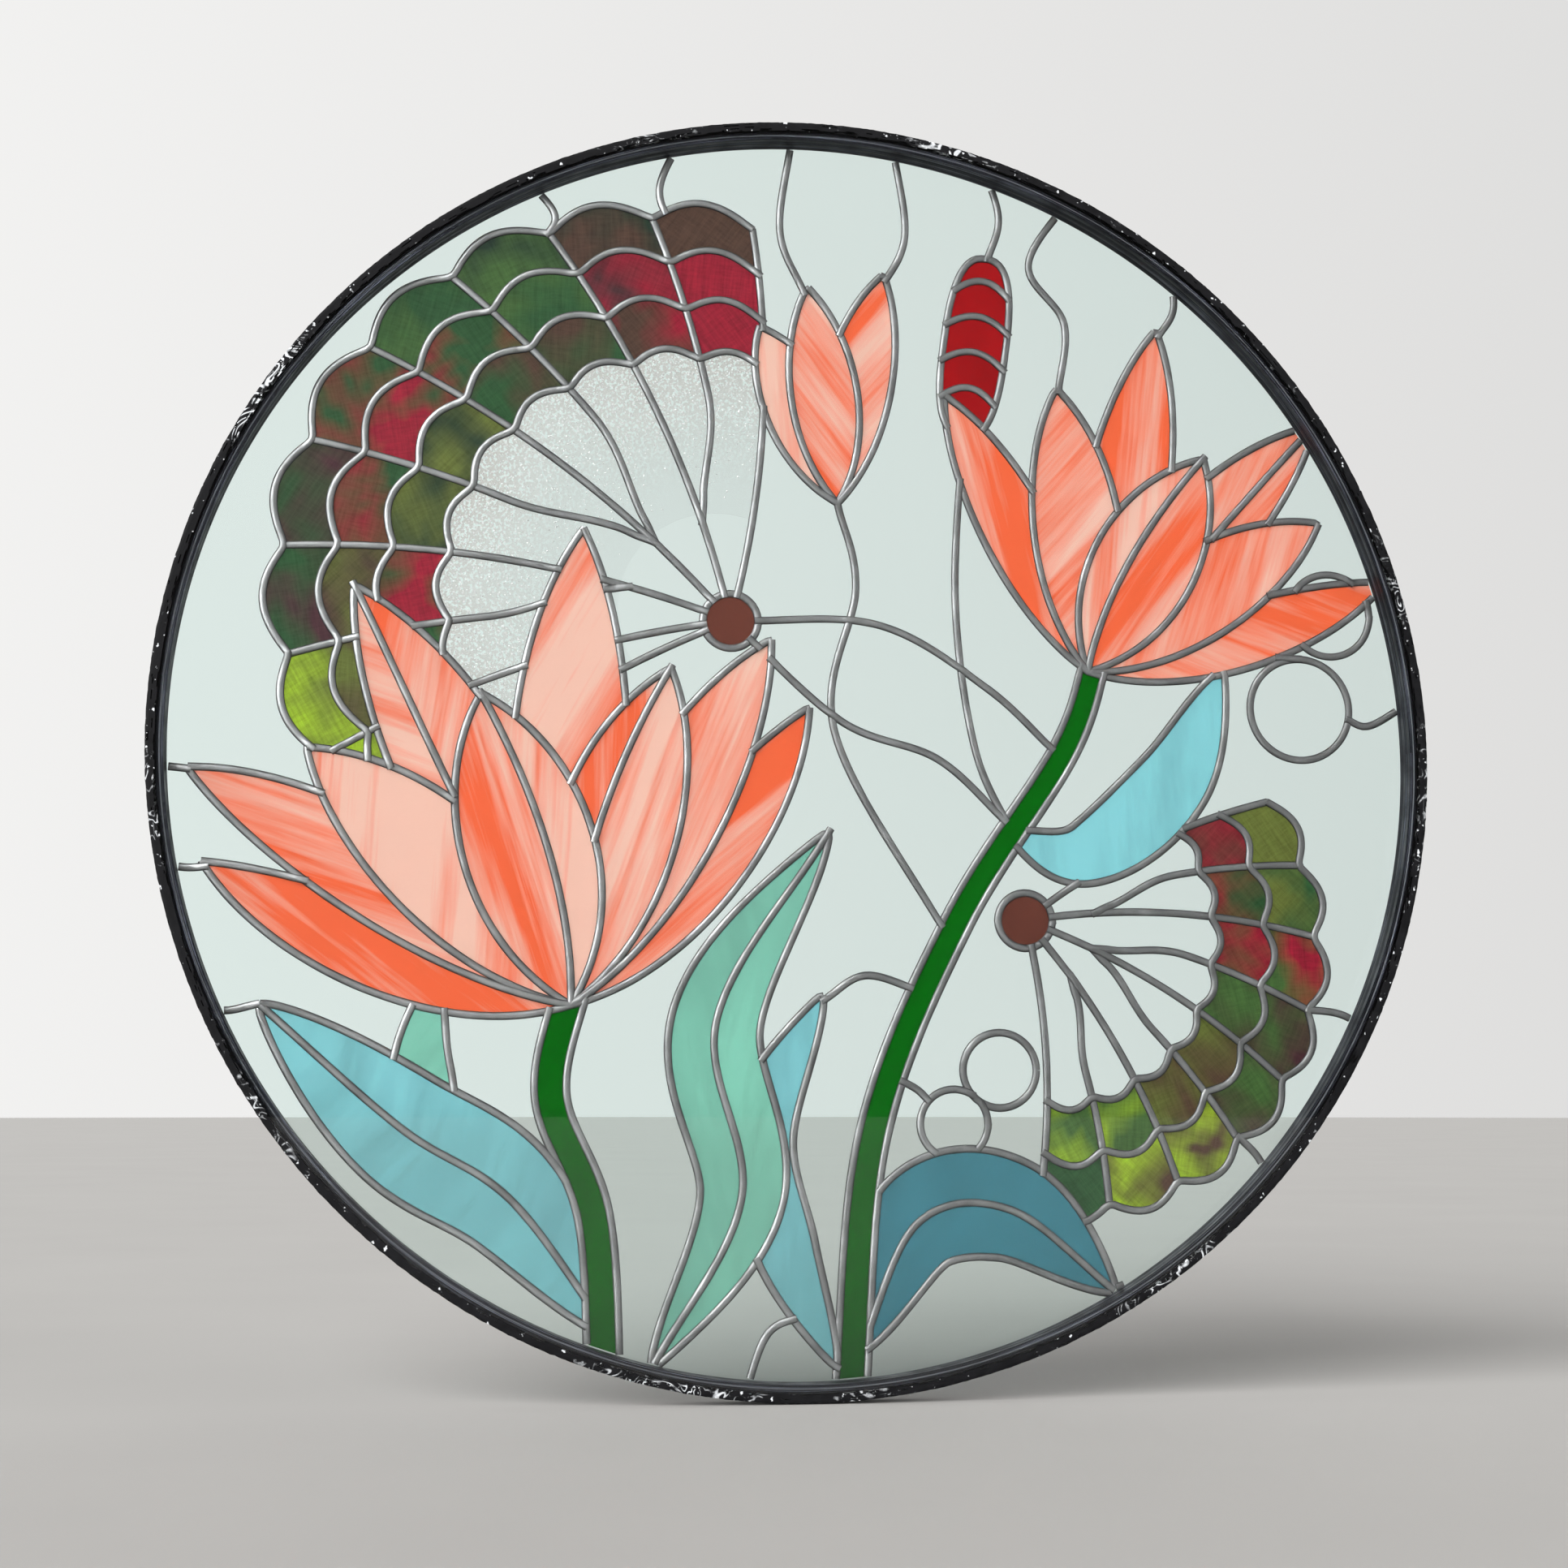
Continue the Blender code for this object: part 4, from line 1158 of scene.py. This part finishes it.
def laid_strips(sizes):
    """The lead strips as lines with their height: ends lap the strips that lie below them."""
    parts = []
    for line in lead_lines_in_view():
        for cut in inside_rim(line, PICTURE_RADIUS - 0.0002):
            ahead = headings(cut)
            turns = (ahead[:-1] * ahead[1:]).sum(1)
            corners = np.flatnonzero(turns < math.cos(CORNER)) + 1
            marks = [0, *corners, len(cut) - 1]
            parts += [cut[a:b + 1] for a, b in zip(marks, marks[1:]) if b > a]
    parts = [p for p in parts if lengths(p)[-1] > SHORTEST_STRIP]
    strips = []
    below = np.empty((0, 2))
    everything = [even(p, sizes.lead_step) for p in parts]
    for k, part in enumerate(parts):
        others = np.vstack([p for j, p in enumerate(everything) if j != k])
        line = part
        for end in (0, -1):
            tip, inner = line[end], line[1 if end == 0 else -2]
            gap = np.hypot(*(others - tip).T).min()
            if gap < MEETS and np.hypot(*tip) < PICTURE_RADIUS - 0.002:
                lap = SHORT_LAP if gap < ON_LINE else sizes.lap
                on = tip + (tip - inner) / np.linalg.norm(tip - inner) * lap
                line = np.vstack([on, line] if end == 0 else [line, on])
        line = even(line, sizes.lead_step)
        rise = np.zeros(len(line))
        if len(below):
            near = np.array([np.hypot(*(below - p).T).min() for p in line])
            share = np.clip(1.25 - near / (sizes.lead_width * 0.8), 0, 1)
            rise = share * share * (3 - 2 * share) * sizes.lap_rise
        strips.append(np.column_stack([line, LEAD + STACK * (k % 9) + rise]))
        below = np.vstack([below, even(part, 0.0015)])
    return strips


class NodeGroup(Nodes):
    """A geometry node tree with named inputs."""

    def __init__(self, name, *sizes):
        super().__init__(bpy.data.node_groups.new(name, "GeometryNodeTree"))
        self.keys = {}
        for key, kind in (("Geometry", "Geometry"), *((size, "Float") for size in sizes),
                          ("Material", "Material")):
            self.keys[key] = self.tree.interface.new_socket(
                key, in_out="INPUT", socket_type="NodeSocket" + kind).identifier
        self.tree.interface.new_socket("Geometry", in_out="OUTPUT",
                                       socket_type="NodeSocketGeometry")
        self.given = self.node("NodeGroupInput").outputs

    def finish(self, geometry):
        """End the tree in Realize Instances and Set Material."""
        real = self.add("GeometryNodeRealizeInstances", {"Geometry": geometry})
        self.node("NodeGroupOutput", {0: self.add("GeometryNodeSetMaterial", {
            "Geometry": real, "Material": self.given["Material"]})})

    def run(self, source, values):
        """Put the tree on an object, take the evaluated mesh and remove the object."""
        modifier = source.modifiers.new("nodes", "NODES")
        modifier.node_group = self.tree
        for key, value in values.items():
            modifier[self.keys[key]] = value
        bpy.context.view_layer.update()
        graph = bpy.context.evaluated_depsgraph_get()
        mesh = bpy.data.meshes.new_from_object(source.evaluated_get(graph))
        source.modifiers.remove(modifier)
        bpy.data.objects.remove(source, do_unlink=True)
        if not len(mesh.polygons):
            raise RuntimeError("the nodes of " + self.tree.name + " made no faces")
        return mesh

    def shaped(self, geometry, **move):
        return self.add("GeometryNodeSetPosition", {"Geometry": geometry, **move})

    def smoothed(self, geometry):
        return self.add("GeometryNodeSetShadeSmooth", {"Geometry": geometry})

    def position(self):
        return self.parts(self.add("GeometryNodeInputPosition"))

    def chance(self, kind, low, high, seed):
        """A random vector or number between low and high."""
        first, output = {"FLOAT_VECTOR": (0, 0), "FLOAT": (2, 1)}[kind]
        return self.add("FunctionNodeRandomValue", {first: low, first + 1: high, "Seed": seed},
                        output, data_type=kind)


def strip_nodes():
    """A rounded bar with a faint groove, swept along every curve."""
    group = NodeGroup("lead_strip", "Width", "Height", "Groove", "Wobble")
    given = group.given
    arc = group.add("GeometryNodeCurveArc", {"Resolution": 10, "Radius": 1.0, "Start Angle": 0.0,
                                             "Sweep Angle": math.pi}, "Curve")
    loop = group.add("GeometryNodeSetSplineCyclic", {"Geometry": arc, "Cyclic": True})
    x, y = group.position()[:2]
    dip = group.minus(1.0, group.times(group.math("ABSOLUTE", x), 3.0))
    dip = group.times(group.math("MAXIMUM", dip, 0.0), given["Groove"])
    full = group.minus(group.math("POWER", group.math("MAXIMUM", y, 0.0), 0.95), dip)
    marked = group.add("GeometryNodeStoreNamedAttribute", {
        "Geometry": loop, "Name": "crown", "Value": full}, data_type="FLOAT", domain="POINT")
    profile = group.shaped(marked, Position=group.vector(
        group.times(x, group.times(given["Width"], -0.5)),
        group.times(group.times(full, given["Height"]), -1.0), 0.0))
    level = group.add("GeometryNodeSetCurveNormal", {"Curve": given["Geometry"]}, mode="Z_UP")
    ripple = group.add("ShaderNodeTexNoise", {"Scale": 38.0, "Detail": 2.0})
    swell = group.plus(1.0, group.times(group.minus(ripple, 0.5), given["Wobble"]))
    swept = group.add("GeometryNodeCurveToMesh", {"Curve": level, "Profile Curve": profile,
                                                  "Scale": swell, "Fill Caps": True})
    group.finish(group.smoothed(swept))
    return group


def scatter_nodes(name, size_name, stamp, seeds, sizes, *more):
    """Stamps scattered by the density of the sheet below, turned and sized at random."""
    group = NodeGroup(name, "Count", size_name, *more)
    given = group.given
    dense = group.add("GeometryNodeInputNamedAttribute", {"Name": "density"}, data_type="FLOAT")
    spread = group.add("GeometryNodeDistributePointsOnFaces", {
        "Mesh": given["Geometry"], "Density": group.times(dense, given["Count"]),
        "Seed": seeds[0]}, distribute_method="RANDOM")
    turn = group.chance("FLOAT_VECTOR", (0, 0, 0), (0, 0, 2 * math.pi), seeds[1])
    size = group.times(group.chance("FLOAT", *sizes, seeds[2]), given[size_name])
    shape, height = stamp(group, size)
    group.finish(group.add("GeometryNodeInstanceOnPoints", {
        "Points": spread, "Instance": shape, "Rotation": turn,
        "Scale": group.vector(size, size, height)}))
    return group


def flake_stamp(group, size):
    """A thin crescent, curled up at its ends."""
    shard = group.add("GeometryNodeMeshCube", {"Size": (1.0, 0.2, 0.05), "Vertices X": 7,
                                               "Vertices Y": 2, "Vertices Z": 2})
    x = group.position()[0]
    square = group.times(x, x)
    aside = group.times(group.minus(square, 0.125), group.given["Sweep"])
    bent = group.vector(0.0, aside, group.times(square, group.given["Curl"]))
    return group.shaped(shard, Offset=bent), 0.001


def seed_stamp(group, size):
    """A low round bubble."""
    ball = group.add("GeometryNodeMeshIcoSphere", {"Radius": 1.0, "Subdivisions": 1})
    return group.smoothed(ball), group.times(size, 0.45)


def sheet_object(verts, faces, density):
    """A flat sheet with a density at each point, for the nodes to scatter on."""
    mesh = mesh_of(verts, faces)
    put_floats(mesh, "density", density)
    return put_in_scene("sheet", mesh)


class LEADED_OT_flakes(bpy.types.Operator):
    """Scatter pale flakes over the worn places of the edge"""
    bl_idname = "leaded.flakes"
    bl_label = "Flakes"

    def execute(self, context):
        sizes = context.scene.leaded_sizes
        verts, faces, density = [], [], []
        sides, rows = 720, 5
        for k in range(sides):
            angle = 2 * math.pi * k / sides
            density += [max(0.0, wear_at(angle) - 0.30) ** 2] * rows
            for j in range(rows):
                verts.append(polar(FLAKES_START + FLAKES_WIDTH * j / (rows - 1), angle,
                                   FRONT_FACE + 0.00025))
                if j:
                    a, b = k * rows + j, (k + 1) % sides * rows + j
                    faces.append((a - 1, a, b, b - 1))
        flake = flake_finish()
        group = scatter_nodes("flakes", "Length", flake_stamp, (11, 3, 5), (0.35, 1.0), "Curl",
                              "Sweep")
        mesh = group.run(sheet_object(verts, faces, density), {
            "Count": sizes.flake_count, "Length": sizes.flake_length, "Curl": 0.7, "Sweep": 1.4,
            "Material": flake})
        finish_piece(mesh, "edge_flakes", flake, "sealant")
        return {"FINISHED"}


class LEADED_OT_seeds(bpy.types.Operator):
    """Scatter the seeds of the clear film inside the left pad's margin"""
    bl_idname = "leaded.seeds"
    bl_label = "Seeds"

    def execute(self, context):
        sizes = context.scene.leaded_sizes
        number = next(k for k, m in enumerate(motifs) if m["name"] == "left_pad")
        rule = motifs[number]["rule"]
        across, rows = 150, 26
        shares = np.linspace(0.26, rule.rows[0] - 0.008, rows)
        spots = np.array([rule.spot(angle, share) for angle in
                          np.linspace(rule.start + 1, rule.stop - 1, across) for share in shares])
        hidden = np.any([inside(spots, cover) for cover in covers_before(number)], axis=0)
        fade = np.tile(((shares - shares[0]) / (shares[-1] - shares[0])) ** 1.5, across)
        patchy = np.array([0.95 + 0.45 * noise.noise((6 * x, 6 * y, 0.0)) for x, y in spots])
        dense = fade * patchy
        faces = [(a, a + 1, a + rows + 1, a + rows) for a in range((across - 1) * rows)
                 if (a + 1) % rows]
        faces = [face for face in faces if not hidden[list(face)].all()]
        low, high, level = ([(x * PICTURE_RADIUS, y * PICTURE_RADIUS, z) for x, y in spots]
                            for z in (*CLEAR_FILM, SEEDS))
        finish_piece(shell(low, high, faces, dense.tolist()), "seeded_film",
                     seeded_film_finish(), "glass")
        seed = seed_finish()
        mesh = scatter_nodes("seeds", "Radius", seed_stamp, (4, 8, 9), (0.45, 1.3)).run(
            sheet_object(level, faces, dense), {"Count": sizes.seed_count,
                                                "Radius": sizes.seed_size, "Material": seed})
        finish_piece(mesh, "film_seeds", seed, "glass")
        return {"FINISHED"}


class LEADED_OT_lead(bpy.types.Operator):
    """Lay the lead strips over the picture's lines"""
    bl_idname = "leaded.lead"
    bl_label = "Lead strips"

    def execute(self, context):
        sizes = context.scene.leaded_sizes
        curve = bpy.data.curves.new("lead_paths", "CURVE")
        curve.dimensions = "3D"
        for strip in laid_strips(sizes):
            spline = curve.splines.new("POLY")
            spline.points.add(len(strip) - 1)
            spline.points.foreach_set("co", np.column_stack([strip, np.ones(len(strip))]).ravel())
        lead = lead_finish(context.scene.leaded_colours)
        mesh = strip_nodes().run(put_in_scene("lead_paths", curve), {
            "Width": sizes.lead_width, "Height": sizes.lead_height, "Groove": 0.06,
            "Wobble": 0.16, "Material": lead})
        mesh.set_sharp_from_angle(angle=math.radians(50))
        finish_piece(mesh, "lead_strips", lead, "lead", "lead_lines")
        return {"FINISHED"}


SKY = ((0.0, 0.08), (0.08, 0.12), (0.25, 0.36), (0.5, 0.62), (0.8, 0.85), (1.0, 0.865))
LIGHTS = (("key", (-1.9, -2.1, 1.4), 58.0, 8.4), ("fill", (2.4, -1.5, 0.7), 50.0, 0.9))


def turn_to(thing, spot):
    """Point a lamp or the camera at a spot."""
    thing.rotation_euler = (spot - thing.location).to_track_quat("-Z", "Y").to_euler()


class LEADED_OT_stage(bpy.types.Operator):
    """Set the pale floor, the soft studio light and the camera"""
    bl_idname = "leaded.stage"
    bl_label = "Stage"

    def execute(self, context):
        scene = context.scene
        base = scene.leaded_colours.floor
        made = Finish("pale_floor", roughness=0.75)
        mottle = made.noise(made.where(), 3.0)
        made.feed("Base Color", made.mix(made.span(mottle, 0.3, 0.7), base * 0.98, base * 1.02))
        turns = [2 * math.pi * k / 96 for k in range(96)]
        floor = mesh_of([polar(30.0, turn, CAD_BOX[0][2] - 0.0002) for turn in turns],
                        [tuple(range(96))])
        floor.materials.append(made.material)
        put_in_scene("floor", floor)

        scene.world = bpy.data.worlds.new("studio")
        scene.world.use_nodes = True
        sky = Nodes(scene.world.node_tree)
        x, y = sky.parts(sky.add("ShaderNodeTexCoord", output="Generated"))[:2]
        ramp = sky.node("ShaderNodeValToRGB", {0: sky.span(y, -1.0, 1.0)})
        marks = ramp.color_ramp.elements
        marks.remove(marks[1])
        for k, (place, level) in enumerate(SKY):
            mark = marks.new(place) if k else marks[0]
            mark.position = place
            mark.color = (level, level * 0.995, level * 0.985, 1)
        tone = sky.add("ShaderNodeVectorMath", {
            0: ramp.outputs[0], "Scale": sky.span(x, -1.0, 1.0, 1.25, 0.70)}, operation="SCALE")
        sky.tree.links.new(tone, sky.tree.nodes["Background"].inputs[0])

        for name, place, spread, power in LIGHTS:
            light = bpy.data.lights.new(name, "SUN")
            light.angle = math.radians(spread)
            light.energy = power
            lamp = put_in_scene(name, light)
            lamp.location = place
            turn_to(lamp, Vector((0, 0, 0)))

        camera = put_in_scene("camera", bpy.data.cameras.new("camera"))
        camera.data.lens = 55.0
        around, above, away = math.radians(-8.0), math.radians(-8.5), 1.771
        middle = Vector((0.0, -0.014, 0.0))
        camera.location = middle + away * Vector((math.sin(around) * math.cos(above),
                                                  -math.cos(around) * math.cos(above),
                                                  math.sin(above)))
        turn_to(camera, middle + Vector((-0.0162, 0.0, -0.0306)))
        scene.camera = camera
        scene.view_settings.view_transform = "Standard"
        return {"FINISHED"}


STEPS = (LEADED_OT_panes, LEADED_OT_edge, LEADED_OT_flakes, LEADED_OT_film, LEADED_OT_lead,
         LEADED_OT_seeds, LEADED_OT_stage)


class LEADED_PT_window(bpy.types.Panel):
    """The steps and settings of the window"""
    bl_idname = "LEADED_PT_window"
    bl_label = "Leaded Window"
    bl_space_type = "VIEW_3D"
    bl_region_type = "UI"
    bl_category = "Leaded Window"

    def draw(self, context):
        for step in STEPS:
            self.layout.operator(step.bl_idname)
        for group in (context.scene.leaded_sizes, context.scene.leaded_colours):
            box = self.layout.box()
            for key in group.bl_rna.properties.keys():
                if key not in ("rna_type", "name"):
                    box.prop(group, key)


CLASSES = (LeadedWindowSizes, LeadedWindowColours, *STEPS, LEADED_PT_window)


def register():
    for made in CLASSES:
        bpy.utils.register_class(made)
    bpy.types.Scene.leaded_sizes = bpy.props.PointerProperty(type=LeadedWindowSizes)
    bpy.types.Scene.leaded_colours = bpy.props.PointerProperty(type=LeadedWindowColours)


def unregister():
    del bpy.types.Scene.leaded_colours
    del bpy.types.Scene.leaded_sizes
    for made in reversed(CLASSES):
        bpy.utils.unregister_class(made)


def main():
    register()
    draw_picture()
    bpy.ops.leaded.panes()
    bpy.ops.leaded.edge()
    bpy.ops.leaded.flakes()
    bpy.ops.leaded.film()
    bpy.ops.leaded.lead()
    bpy.ops.leaded.seeds()
    bpy.ops.leaded.stage()


if __name__ == "__main__":
    main()
